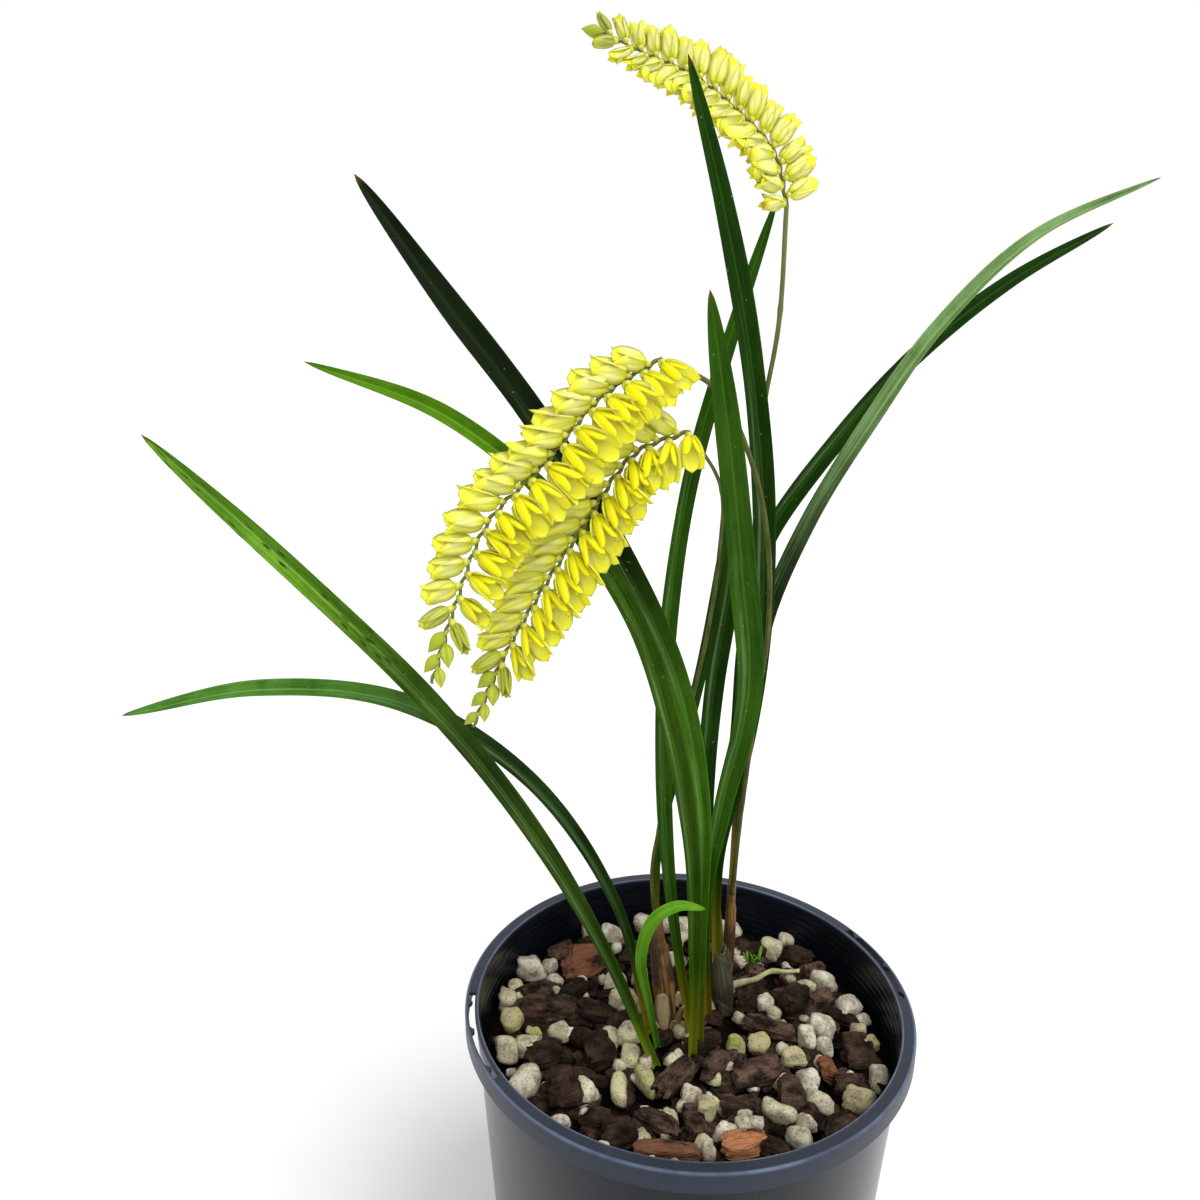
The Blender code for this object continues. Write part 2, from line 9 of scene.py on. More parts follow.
import bmesh
import bpy
import numpy as np
from bpy.props import FloatProperty, FloatVectorProperty, IntProperty, PointerProperty
from mathutils import Matrix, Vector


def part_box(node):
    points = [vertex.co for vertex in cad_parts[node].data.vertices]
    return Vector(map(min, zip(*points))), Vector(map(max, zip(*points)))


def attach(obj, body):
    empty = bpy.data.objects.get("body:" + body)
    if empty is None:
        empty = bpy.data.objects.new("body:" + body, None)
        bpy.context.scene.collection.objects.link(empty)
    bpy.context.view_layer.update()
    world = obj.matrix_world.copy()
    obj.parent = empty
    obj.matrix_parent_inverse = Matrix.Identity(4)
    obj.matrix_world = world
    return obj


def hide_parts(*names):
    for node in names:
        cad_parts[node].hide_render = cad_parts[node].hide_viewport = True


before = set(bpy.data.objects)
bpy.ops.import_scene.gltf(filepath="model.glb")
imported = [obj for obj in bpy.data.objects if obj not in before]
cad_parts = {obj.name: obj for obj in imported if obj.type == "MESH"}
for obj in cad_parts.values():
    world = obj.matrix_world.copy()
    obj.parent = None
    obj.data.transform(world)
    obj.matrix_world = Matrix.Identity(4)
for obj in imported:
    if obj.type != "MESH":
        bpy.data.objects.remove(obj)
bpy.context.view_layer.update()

bl_info = {
    "name": "Potted chain orchid",
    "version": (1, 0, 0),
    "blender": (4, 5, 0),
    "location": "3D View > Sidebar > Orchid",
    "description": "Builds a flowering chain orchid in a nursery pot of bark and pumice",
    "category": "Add Mesh",
}

MM = 0.001
POT_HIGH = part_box("pot")[1]
MIX_LOW, MIX_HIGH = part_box("potting_mix")
POT_HEIGHT = POT_HIGH[2] / MM
MIX_TOP = MIX_HIGH[2] / MM
FRONT = np.array((0.0, -1.0, 0.35))

# name: width, share of the length where it is reached, fold in degrees, way the upper face
# looks at the foot and at the tip, the line that the leaf follows, and its finish
LEAVES = {
    "leaf_long_left": (5.2, 0.5, 26, (0.2, -1.0, 0.45), (0.2, -1.0, 0.45), [
        (-9, -11.2, 0.3), (-24, -15, 40.5), (-42.5, -19.5, 78), (-65, -25, 113),
        (-91.5, -31, 145), (-119, -38, 176)], "spotted"),
    "leaf_low_left": (5.6, 0.7, 24, (0.0, -0.9, 0.5), (0.0, -0.8, 0.8), [
        (-9.8, 1.8, 0.3), (-20.5, 5, 41.5), (-44, 8, 77), (-78.5, 11.5, 98),
        (-119, 15, 100.5), (-159.5, 18, 91)], "pale"),
    "leaf_young": (3.5, 0.72, 16, (0.1, -1.0, 0.7), (0.1, -1.0, 0.7), [
        (-8.2, -3.6, 0.3), (-11.5, -6.5, 18), (-14, -9.5, 33), (-11.5, -12, 46),
        (-5, -14, 52.5), (2.5, -16, 53)], "young"),
    "leaf_dark_left": (7.8, 0.75, 20, (0.25, -1.0, 0.3), (0.25, -1.0, 0.3), [
        (3.4, -4.4, 0.3), (2.6, -4.2, 39.5), (1.6, -3.4, 76.5), (-6.5, -0.3, 112.5),
        (-22.5, 4, 144.5), (-42.5, 9.5, 175.5), (-65, 15.5, 204), (-87, 22, 233)], "two_tone"),
    "leaf_arching_left": (5.0, 0.4, 26, (0.15, -1.0, 0.4), (0.15, -1.0, 0.4), [
        (1.2, -8, 0.3), (0.5, -7.3, 35), (-1.5, -7.6, 67.5), (-7.5, -8.2, 99.5),
        (-18, -9, 130.5), (-36.5, -10, 157.5), (-61.5, -12, 178), (-92, -14, 189.5)], "light"),
    "leaf_tallest": (5.9, 0.5, 20, (0.0, -1.0, 0.1), (0.0, -1.0, 0.1), [
        (9.6, 13.6, 16.5), (9, 13.5, 51), (15, 13.5, 86), (17.5, 12.5, 121), (16, 11.5, 155.5),
        (11, 10.5, 190), (3, 9.5, 224), (-7, 8, 257)], "dark"),
    "leaf_broad_front": (6.9, 0.62, 18, (0.0, -1.0, 0.1), (0.0, -1.0, 0.1), [
        (7.4, 8.2, 0.3), (4.5, 5, 41.5), (8, 2, 74), (12.5, -3.5, 108), (8.5, -10, 140.5),
        (3, -17, 173.5), (-3.5, -25, 205.5)], "green"),
    "leaf_back": (4.7, 0.4, 26, (0.0, -1.0, 0.2), (0.0, -1.0, 0.2), [
        (1.8, 1, 0.3), (-4.8, 5, 42.5), (-7.7, 10.5, 81.5), (-6.8, 18.5, 120),
        (-1.4, 27.5, 158), (8.8, 36, 195), (21, 45, 231.5)], "green"),
    "leaf_inner": (5.2, 0.4, 22, (0.0, -1.0, 0.1), (0.0, -1.0, 0.1), [
        (5, 12.2, 0.3), (4.5, 9.5, 44.5), (4, 10, 75), (5.5, 11, 105.5), (9, 12, 136.5),
        (8, 13, 165.5), (2.5, 14, 196)], "dark"),
    "leaf_inner_slim": (3.6, 0.4, 30, (0.0, -1.0, 0.1), (0.0, -1.0, 0.1), [
        (-8.4, 13.4, 28.5), (-8, 16.9, 54), (-2.5, 19.9, 80.5), (3, 22, 106), (7.5, 25, 132),
        (10.5, 27, 158.5), (7, 28, 184)], "green"),
    "leaf_right_outer": (4.5, 0.3, 26, (-0.1, -1.0, 0.35), (-0.3, -0.8, 0.9), [
        (14.6, 21.4, 36), (15.3, 20.3, 65), (17, 19.8, 93), (19.8, 18.6, 121.5),
        (29.3, 17, 148.5), (42, 14, 173.5), (56.5, 10, 198), (75.5, 6, 218.5),
        (100.5, 2, 231)], "silver"),
    "leaf_right_inner": (5.0, 0.5, 24, (-0.1, -1.0, 0.3), (-0.1, -1.0, 0.3), [
        (8.7, 18.6, 16.5), (9, 22, 48.5), (14, 25.8, 80), (16, 29.6, 111.5), (20.5, 32, 139),
        (39.5, 35.5, 167.5), (60, 38.5, 190.5), (84.5, 42, 210), (112, 45, 225.5)], "dark"),
}

# finish: shade side, lit side, midrib, foot, brightness at the foot and at the tip with the
# shares of the length between which it changes, how much the spots and the painted shade on
# one half show, roughness
LEAF_FINISHES = {
    "dark": ((0.003, 0.018, 0.001), (0.016, 0.064, 0.002), (0.035, 0.12, 0.006),
             (0.16, 0.14, 0.006), (1.0, 0.8, 0.2, 0.7), 0.10, 0.36),
    "two_tone": ((0.009, 0.034, 0.001), (0.034, 0.095, 0.005), (0.06, 0.16, 0.012),
                 (0.16, 0.14, 0.006), (1.6, 0.13, 0.34, 0.6), 0.10, 0.40),
    "green": ((0.010, 0.048, 0.001), (0.036, 0.115, 0.004), (0.075, 0.19, 0.012),
              (0.22, 0.15, 0.008), (1.0, 0.9, 0.2, 0.7), 0.12, 0.38),
    "light": ((0.014, 0.060, 0.001), (0.060, 0.15, 0.003), (0.11, 0.24, 0.012),
              (0.16, 0.18, 0.008), (0.55, 1.65, 0.55, 0.85), 0.15, 0.40),
    "pale": ((0.015, 0.060, 0.003), (0.065, 0.17, 0.025), (0.13, 0.27, 0.07),
             (0.24, 0.17, 0.012), (0.30, 1.6, 0.45, 0.8), 0.15, 0.38),
    "silver": ((0.03, 0.07, 0.010), (0.13, 0.22, 0.08), (0.24, 0.36, 0.16),
               (0.24, 0.17, 0.012), (0.25, 1.9, 0.4, 0.75), 0.15, 0.38),
    "spotted": ((0.020, 0.075, 0.002), (0.095, 0.21, 0.015), (0.20, 0.34, 0.05),
                (0.14, 0.22, 0.008), (0.34, 1.65, 0.5, 0.88), 1.0, 0.40),
    "young": ((0.04, 0.15, 0.003), (0.12, 0.30, 0.015), (0.18, 0.38, 0.04),
              (0.08, 0.22, 0.008), (0.7, 1.2, 0.2, 0.7), 0.05, 0.36),
}
PETIOLE_WIDTH, PETIOLE_FOLD = 2.6, 46

# name: radius, and route of the bare stalk
STALKS = {
    "flower_stem_low": (0.65, [
        (14.2, 18.3, 36), (14.5, 13.8, 58), (15.3, 10, 79.5), (16.5, 7.2, 100.5), (18, 5, 122),
        (16.5, 1.5, 143), (11.5, -3, 163.5), (1, -11, 183.5), (-13.2, -19.5, 191)]),
    "flower_stem_middle": (0.48, [
        (-8.6, 10.4, 28.5), (-10, 12.6, 47.5), (-7, 12.6, 67), (-3.5, 10.2, 86.5),
        (0, 7.3, 105.5), (2.5, 3.2, 124), (3.5, -2.2, 143), (2.5, -9, 161.5),
        (-6.1, -16.4, 175.3)]),
    "flower_stem_high": (0.65, [
        (12, 16.8, 16.5), (9.5, 18.6, 47.5), (14.8, 22.9, 77), (18.5, 24, 107.5),
        (19.5, 25.5, 138), (17, 27, 169.5), (20.5, 28.5, 199.5), (21, 30, 228)]),
}
# name: way the rachis shows its front, lean of the left and then of the right rank towards the
# tip as (at the foot, at the tip), how far each rank leans forwards, whether the right rank
# shows its lips, buds at the end, how much is worn, size and spacing of the flowers as shares
# of the user's settings, and the route
RACEMES = {
    "raceme_low": ((0.1, -1.0, 0.35), (1.5, 0.45), (-0.15, 0.35), (0.35, 0.4),
                   True, 4, 0.0, 1.0, 1.0, [
        (-13.2, -19.5, 191), (-26, -25.5, 183), (-37.5, -32, 170), (-49, -38.5, 158.5),
        (-55, -45.5, 143.5), (-59.5, -52, 128)]),
    "raceme_middle": ((0.0, -1.0, 0.35), (0.9, 1.1), (0.5, 0.55), (0.1, 0.4),
                      True, 5, 0.0, 1.0, 1.0, [
        (-6.1, -16.4, 175.3), (-19, -20, 170), (-30.5, -24, 153.5), (-39, -27.5, 140.5),
        (-47, -30.5, 126.5), (-54, -34, 111)]),
    "raceme_high": ((0.5, -0.7, 0.5), (0.25, 0.6), (0.3, 0.7), (0.3, -0.25),
                    False, 1, 1.0, 0.95, 0.84, [
        (21, 30, 228), (17, 30, 240.5), (6, 30.5, 251), (-4.5, 30.5, 258), (-17, 31, 263),
        (-29.5, 31, 268.5)]),
}

# name: foot, head, widest radius, radius at the head, finish
BULBS = {
    "pseudobulb_left": ((-4.5, 7, 0.0), (-8.5, 11.9, 31), 3.7, 2.1, "sheath"),
    "pseudobulb_right": ((12.8, 12.2, 0.0), (10.3, 16, 19), 4.0, 2.9, "bulb"),
    "sheath_right": ((14.6, 22.2, 0.0), (14.4, 20.1, 38), 2.1, 1.4, "sheath"),
}
AERIAL_ROOT = [(15.5, 19.6, 3.0), (22, 17.5, 7.2), (28, 16.4, 10.6), (35, 14.5, 12.4)]

# place on the mix, then length, width, thickness, turn, lean and tint of the bark chips
BARK = [
    (-29, 30, 14, 12, 4.5, 15, 32, 0.8), (-40, 9.5, 17, 8, 5, 8, 8, 0.35),
    (-26, 7.5, 12, 7, 5, -15, 5, 0.05), (-40, -10, 11, 9, 5, 20, 12, 0.1),
    (-25, -8.5, 9, 11, 4.5, 25, 15, 0.0), (-4.5, -18.5, 16, 7, 5, 50, 14, 0.5),
    (8.5, -12.5, 14, 6, 5, 48, 10, 0.45), (18.5, -16.5, 16, 9, 5.5, 14, 12, 0.5),
    (-9.5, -33, 13, 6, 4.5, -35, 5, 0.4), (-20, -37, 9.5, 9, 5, 20, 10, 0.15),
    (-7.5, -42, 16, 6, 4.5, 0, 0, 0.75), (11, -40.5, 12, 7.5, 5, 8, 10, 1.0),
    (48, -8, 9.5, 13, 4.5, 6, 8, 0.3), (36.5, -35, 9, 8, 5, 30, 8, 0.4),
    (33, 12.5, 11, 8.5, 7, 65, 10, 0.1), (25, 1.5, 16, 6, 5, -24, 5, 0.6),
    (38, 34, 11, 7, 5, -25, 10, 0.2),
]
MORE_BARK = [
    (-37, 37, 9, 7, 4, 40, 30, 0.5), (-44, 17, 12, 6, 4, 10, 12, 0.4),
    (19, -42, 8, 6, 4, -10, 10, 0.2), (0, -33, 6, 10, 4, 10, 15, 0.45),
    (26, -25, 7, 10, 4, 5, 20, 0.4), (13, -27, 11, 6, 4, 5, 8, 0.35),
    (43, -20, 9, 6, 4, 0, 10, 0.35), (38, -14, 5, 7, 4, 20, 15, 0.9),
    (42, 15, 8, 6, 4, 20, 25, 0.5), (47, 7, 10, 4, 3, -30, 5, 0.2),
    (24, 28, 8, 5, 4, 0, 20, 0.55), (-34, -25, 8, 11, 5, 20, 18, 0.2),
    (-25, -32, 8, 7, 4, -10, 10, 0.15), (26, 38, 12, 6, 4, 20, 18, 0.15),
    (43, 27, 9, 6, 4, 30, 30, 0.6), (-12, 36, 12, 7, 4, 0, 12, 0.3),
    (8, 40, 10, 8, 4, 40, 10, 0.2), (-2, 22, 10, 7, 4, 70, 10, 0.1),
    (-19, 5, 8, 6, 4, 30, 10, 0.1), (-30, -2, 9, 6, 4, -40, 8, 0.1),
    (3, -5, 9, 6, 4, 10, 6, 0.05), (30, -30, 7, 5, 3, 60, 10, 0.3),
    (-33, 18, 10, 8, 4, 50, 10, 0.1), (52, -19, 6, 7, 4, 10, 10, 0.3),
    (-42, -30, 8, 6, 4, 40, 10, 0.15), (20, 21, 8, 6, 4, 20, 10, 0.3),
    (15, 30, 9, 6, 4, -30, 10, 0.1),
]
# place on the mix, then length, width, height, turn and tint of the pumice
PUMICE = [
    (-46, 26, 8.5, 8, 7, 20, 0.1), (-50.5, 4, 7, 8, 6, 0, 0.7), (-50, -8.5, 6.5, 8, 6.5, 10, 0.4),
    (-36.5, -0.5, 7, 5.5, 5.5, 15, 0.5), (-44.5, -21.5, 8.5, 10.5, 7, -30, 0.2),
    (-29, -23.5, 9, 8.5, 6, 35, 0.3), (-19.5, -21.5, 5, 11, 5, -5, 0.5),
    (-16.5, -2.5, 7.5, 8.5, 7, 0, 0.5), (-17.5, 14, 9.5, 7, 6, 10, 0.4),
    (44, 23, 9, 6.5, 6, -20, 0.2), (49.3, 11, 8.5, 8, 6.5, 15, 0.1), (40, 1.5, 8, 8, 6, 0, 0.0),
    (31.5, -18, 7.5, 6, 5, 20, 0.1), (43.5, -27, 8.5, 7, 6, -25, 0.6),
    (25.5, -38.5, 7, 7, 6, 0, 0.3), (18, 48.5, 10, 6.5, 5.5, -12, 0.3),
]
MORE_PUMICE = [
    (-41, 29, 4, 5, 4, 0, 0.1), (-39, 23.5, 5, 4, 4, 30, 0.2), (-45, -7, 6, 7, 6, 0, 0.4),
    (-43.5, -1, 5, 4, 4, 0, 0.9), (-12, -19.5, 4.5, 10, 6, 20, 0.9),
    (-21.5, -3, 5, 8, 5, 10, 0.4), (-16, -11, 6.5, 6.5, 5, -20, 0.5),
    (-19.5, 21, 8, 7, 6, 0, 0.3), (-20, 46, 9, 8, 6, 10, 0.1), (-10, 51, 7, 7, 6, 0, 0.1),
    (3, 47, 6, 12, 6, 0, 0.3), (20.5, 32, 5, 6, 5, 0, 0.1), (31, 40, 8, 8, 6, -20, 0.4),
    (25, 12, 5, 6, 5, 0, 0.2), (50, 1, 5.5, 5, 5, 0, 0.4), (52, -4.5, 5.5, 5, 5, 0, 0.8),
    (39, -5.5, 5.5, 5, 5, 0, 0.1), (34.5, -3, 5.5, 8, 6, 10, 0.2),
    (20.5, -5.5, 7, 5.5, 5.5, 0, 0.7), (13.5, -5, 5.5, 5.5, 5, 0, 0.9),
    (29, -9.5, 7, 6, 5, 10, 0.6), (51, -17.5, 6, 7, 6, 0, 0.2), (33, -26, 8, 5, 5, -20, 0.3),
    (22, -30, 9, 5, 5, -15, 0.4), (12, -34.5, 5, 5, 5, 20, 0.2), (6.5, -36.5, 5, 5, 5, 0, 0.0),
    (3, -29, 6, 6, 6, 0, 0.7), (0, -24.5, 6, 5.5, 5.5, 0, 0.2), (2.5, -43, 3.5, 5, 5, 0, 0.1),
    (-6.5, -31.5, 4.5, 4.5, 4, 0, 0.4), (-34.5, -33, 5, 4, 4, 20, 0.1),
    (-14, -37.5, 4.5, 5, 4, 0, 0.2), (-52, 14, 6, 6, 5, 0, 0.4), (-2, 53, 7, 6, 5, 0, 0.2),
    (28, -33, 6, 5, 4, 0, 0.2), (47, -31, 5, 5, 4, 0, 0.5), (-28, 48, 7, 6, 5, 0, 0.2),
    (37, 44, 7, 6, 5, 10, 0.3), (10, 26, 6, 5, 4, 0, 0.3), (39, 21, 7, 5, 4, -30, 0.2),
    (-12, 25, 6, 5, 5, 0, 0.3), (-1, 33, 7, 6, 5, 0, 0.2),
]


# ---- meshes -------------------------------------------------------------------------------

def grid_quads(rows, columns):
    """Corner numbers of the quads of a grid whose rows are rings."""
    i, j = np.meshgrid(np.arange(rows - 1), np.arange(columns), indexing="ij")
    k = (j + 1) % columns
    return np.stack((i * columns + j, i * columns + k,
                     (i + 1) * columns + k, (i + 1) * columns + j), -1).reshape(-1, 4)


def put_mesh(name, points, quads, material, uv=None, values=None, sharp=None):
    """One mesh object in metres from points in millimetres, with its UV map and point values."""
    mesh = bpy.data.meshes.new(name)
    points = np.asarray(points, dtype=np.float32).reshape(-1, 3) * MM
    mesh.vertices.add(len(points))
    mesh.vertices.foreach_set("co", points.ravel())
    mesh.loops.add(quads.size)
    mesh.loops.foreach_set("vertex_index", quads.astype(np.int32).ravel())
    mesh.polygons.add(len(quads))
    mesh.polygons.foreach_set("loop_start", np.arange(0, quads.size, 4, dtype=np.int32))
    if uv is not None:
        layer = mesh.uv_layers.new(name="surface")
        flat = np.asarray(uv, dtype=np.float32).reshape(-1, 2)[quads.ravel()]
        layer.data.foreach_set("uv", flat.ravel())
    for key, value in (values or {}).items():
        layer = mesh.attributes.new(key, "FLOAT", "POINT")
        layer.data.foreach_set("value", np.broadcast_to(value, len(points)).astype(np.float32))
    mesh.update(calc_edges=True)
    face_outwards(mesh)
    mesh.shade_smooth()
    if sharp is not None:
        mesh.set_sharp_from_angle(angle=math.radians(sharp))
    mesh.materials.append(material)
    piece = bpy.data.objects.new(name, mesh)
    bpy.context.scene.collection.objects.link(piece)
    return piece


def build(name, surface, material, slot, *nodes, sharp=None):
    """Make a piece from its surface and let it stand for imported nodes."""
    points, quads, uv, values = surface
    settle(put_mesh(name, points, quads, material, uv, values, sharp), slot, *nodes)


def face_outwards(mesh):
    """Merge doubled points and turn every face outwards."""
    bm = bmesh.new()
    bm.from_mesh(mesh)
    bmesh.ops.remove_doubles(bm, verts=bm.verts, dist=0.003 * MM)
    bmesh.ops.recalc_face_normals(bm, faces=bm.faces)
    bm.to_mesh(mesh)
    bm.free()


def settle(piece, slot, *nodes):
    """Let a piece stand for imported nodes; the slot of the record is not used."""
    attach(piece, "root")
    if nodes:
        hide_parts(*nodes)


def unevenness(points, size, seed):
    """Soft bumps from -1 to 1: the mean of eight sine waves in seeded directions."""
    rng = np.random.default_rng(seed)
    ways = rng.normal(size=(8, 3))
    ways *= math.tau / size / np.linalg.norm(ways, axis=1)[:, None] * rng.uniform(0.6, 1.5, (8, 1))
    waves = np.sin(np.asarray(points) @ ways.T + rng.uniform(0, math.tau, 8))
    return waves.sum(-1) / 3.2


def ring_angles(count):
    """Evenly spaced angles of a full turn."""
    return np.arange(count) * math.tau / count


def ring_of(one, two, angles):
    """Unit circles in the planes of two directions: one cos a + two sin a, a row for each."""
    return (one[:, None] * np.cos(angles)[None, :, None]
            + two[:, None] * np.sin(angles)[None, :, None])


def at_angle(radius, angle, height):
    """Points round the Z axis: (radius cos angle, radius sin angle, height)."""
    return np.stack(np.broadcast_arrays(
        radius * np.cos(angle), radius * np.sin(angle), height), -1)


def paired(u, v):
    """The two parameters of a grid as its UV map."""
    return np.stack(np.broadcast_arrays(u, v), -1)


def unit(rows):
    """Rows of vectors brought to length 1."""
    return rows / np.linalg.norm(rows, axis=-1)[..., None]


def square_to(rows, axis):
    """What is left of each row at right angles to its axis, brought to length 1."""
    return unit(rows - axis * (rows * axis).sum(1)[:, None])


def ease(x):
    """Smooth step from 0 to 1."""
    x = np.clip(x, 0.0, 1.0)
    return x * x * (3 - 2 * x)


def planted(points):
    """Points counted from the top of the mix, moved into the pot's frame."""
    return np.asarray(points, dtype=float) + (0.0, 0.0, MIX_TOP)


def smooth_route(points, stations):
    """A Catmull-Rom curve through the points: its places, unit tangents and shares of length."""
    knots = planted(points)
    knots = np.vstack((2 * knots[0] - knots[1], knots, 2 * knots[-1] - knots[-2]))
    spans = len(points) - 1

    def curve(places):
        """Points of the curve, each counted in knots from its start."""
        starts = np.minimum(places.astype(int), spans - 1)
        t = (places - starts)[:, None]
        a, b, c, d = (knots[starts + k] for k in range(4))
        return 0.5 * (2 * b + (c - a) * t + (2 * a - 5 * b + 4 * c - d) * t ** 2
                      + (3 * b - a - 3 * c + d) * t ** 3)

    fine = np.linspace(0.0, spans, 600)
    run = np.concatenate(([0.0], np.cumsum(np.linalg.norm(np.diff(curve(fine), axis=0), axis=1))))
    shares = np.linspace(0.0, 1.0, stations)
    line = curve(np.interp(shares * run[-1], run, fine))
    return line, unit(np.gradient(line, axis=0)), shares, run[-1]


def across(tangent, facing):
    """Side and upward directions across a route, the upward one turned to facing."""
    side = unit(np.cross(tangent, facing))
    return side, np.cross(side, tangent)


def tube(points, stations, radius, sides, wander, seed):
    """A ring carried along a smooth route: centre + radius(share) (cos a, sin a), made uneven."""
    line, tangent, shares, _ = smooth_route(points, stations)
    a = ring_angles(sides)
    rings = line[:, None] + radius(shares)[:, None, None] * ring_of(*across(tangent, FRONT), a)
    rings += unevenness(rings, 6.0, seed)[..., None] * wander * (rings - line[:, None])
    return capped(rings, paired(a[None] / math.tau, shares[:, None]))


def capped(rings, uv):
    """A grid with its first and last rings closed to a point."""
    ends = np.repeat(rings[[0, -1]].mean(1, keepdims=True), rings.shape[1], 1)
    return np.concatenate((ends[:1], rings, ends[1:])), np.concatenate((uv[:1], uv, uv[-1:]))


def joined(parts):
    """Several (points, quads, uv, values) sets made into one."""
    points, quads, uvs, values, start = [], [], [], {}, 0
    for p, q, uv, extra in parts:
        p = p.reshape(-1, 3)
        points.append(p)
        quads.append(q + start)
        uvs.append(uv.reshape(-1, 2))
        for key, value in extra.items():
            values.setdefault(key, []).append(np.broadcast_to(value, (len(p),)))
        start += len(p)
    return (np.concatenate(points), np.concatenate(quads), np.concatenate(uvs),
            {key: np.concatenate(value) for key, value in values.items()})


# ---- leaves, stalks and flowers -----------------------------------------------------------

def leaf_surface(width, widen, fold, facing_foot, facing_tip, route, seed):
    """A strap leaf on (around the section, along the length).

    Half width = stalk + (blade - stalk) eased up to `widen`, then (1 - s^9)^0.62 at the tip.
    The section is a channel: height = depth * sqrt(u^2 + 0.02), u from -1 to 1 across, with the
    underside lower by a thickness that grows towards the keel.
    """
    stations, columns = 130, 15
    line, tangent, s, length = smooth_route(route, stations)
    rng = np.random.default_rng(seed)
    turn = ease(s)[:, None]
    side, up = across(tangent, np.array(facing_foot) * (1 - turn) + np.array(facing_tip) * turn)
    twist = 0.10 * np.sin(s * math.tau * rng.uniform(0.7, 1.3) + rng.uniform(0, math.tau))[:, None]
    side, up = side * np.cos(twist) + up * np.sin(twist), up * np.cos(twist) - side * np.sin(twist)
    opened = ease(s / widen)
    taper = np.maximum(1.0 - s ** 9, 0.0) ** 0.62
    narrow = PETIOLE_WIDTH * min(1.0, width / 5)
    half = 0.5 * (narrow + (width - narrow) * opened) * np.maximum(taper, 0.015)
    half = half * (1 + 0.025 * np.sin(s * length / 9 + seed))
    deep = half * np.tan(np.radians(PETIOLE_FOLD + (fold + 8 - PETIOLE_FOLD) * opened))
    u = np.linspace(-1, 1, columns)
    u = np.sign(u) * np.abs(u) ** 0.85
    ripple = 0.035 * np.sin(s * length / 6.5 + 2 * seed)[:, None] * (np.sign(u) * np.abs(u) ** 2)
    top = deep[:, None] * (np.sqrt(u ** 2 + 0.02) - 0.14)[None] + half[:, None] * ripple
    thick = (0.22 + 0.5 * (1 - np.abs(u)[None]) ** 1.4) * np.clip(taper, 0.3, 1)[:, None]
    thick = thick + 0.22 * np.exp(-(u[None] / 0.09) ** 2) * np.clip(taper, 0, 1)[:, None]
    rise = 0.4 * (deep + 0.8)[:, None] - deep[:, None] * 0.86
    upper = top + rise + 0.2
    lower = upper - thick
    x = np.concatenate((half[:, None] * u[None], (half[:, None] * u[None])[:, ::-1][:, 1:-1]), 1)
    z = np.concatenate((upper, lower[:, ::-1][:, 1:-1]), 1)
    rings = line[:, None] + side[:, None] * x[..., None] + up[:, None] * z[..., None]
    flat = np.concatenate((u, u[::-1][1:-1]))
    face = np.concatenate((np.ones(columns), np.zeros(columns - 2)))
    rings, uv = capped(rings, paired(flat[None] * 0.5 + 0.5, s[:, None]))
    return rings, grid_quads(len(rings), len(face)), uv, {
        "upper": np.tile(face, len(rings)), "millimetres": (uv[..., 1] * length).ravel()}


def stalk_surface(radius, route, seed):
    """A thin stalk: a tube that swells a little at three joints along it."""
    def swell(s):
        """The radius at a share of the length."""
        joints = sum(np.exp(-((s - place) / 0.006) ** 2) for place in (0.3, 0.62, 0.88))
        return radius * (1.12 - 0.16 * s + 0.22 * joints)
    rings, uv = tube(route, 150, swell, 10, 0.05, seed)
    return rings, grid_quads(len(rings), 10), uv, {}


def tepal_set(bases, outs, faces, lengths, widths, opens, cups, seeds):
    """Many thin pointed tepals at once, each on (along, around).

    Width = w * (0.62 + 0.38 * ease(s / 0.35)) * (1 - s^4.6)^0.62; the midline leaves its base at
    `opens` from the flower's axis, bends back towards it and curls out again at the tip.
    Across, the blade is cupped by cups * x^2, and its two faces lie 0.16 mm apart.
    """
    along, half_ring = 9, 5
    s = np.linspace(0, 1, along)
    shape = (0.62 + 0.38 * ease(s / 0.35)) * (1 - s ** 4.6) ** 0.62
    x = np.linspace(-1, 1, half_ring)
    ring_x = np.concatenate((x, x[::-1][1:-1]))
    ring_t = np.concatenate((np.ones(half_ring), -np.ones(half_ring - 2))) * 0.08
    outs = unit(outs)
    faces = square_to(faces, outs)
    sides = np.cross(outs, faces)
    reach = lengths[:, None] * (s - 0.05 * s ** 3)[None]
    lift = lengths[:, None] * (np.tan(opens)[:, None] * (s - 0.55 * s ** 2)[None]
                               + 0.04 * s[None] ** 6)
    mid = bases[:, None] + outs[:, None] * reach[..., None] + faces[:, None] * lift[..., None]
    w = 0.5 * widths[:, None] * shape[None]
    offset = w[..., None] * ring_x[None, None]
    wave = 1 + 0.12 * np.sin(5 * s[None, :, None] + seeds[:, None, None] + 2 * ring_x[None, None])
    bowl = -cups[:, None, None] * w[..., None] * ring_x[None, None] ** 2 * wave
    height = bowl + ring_t[None, None] * np.minimum(1, 4 * (1 - s))[None, :, None]
    points = (mid[:, :, None] + sides[:, None, None] * offset[..., None]
              + faces[:, None, None] * height[..., None])
    points[:, [0, -1]] = points[:, [0, -1]].mean(2, keepdims=True)
    count = len(ring_x)
    quads = grid_quads(along, count)
    start = (np.arange(len(bases)) * along * count)[:, None, None]
    uv = np.broadcast_to(paired((ring_x * 0.5 + 0.5)[None], s[:, None])[None],
                         (len(bases), along, count, 2))
    return points, (quads[None] + start).reshape(-1, 4), uv


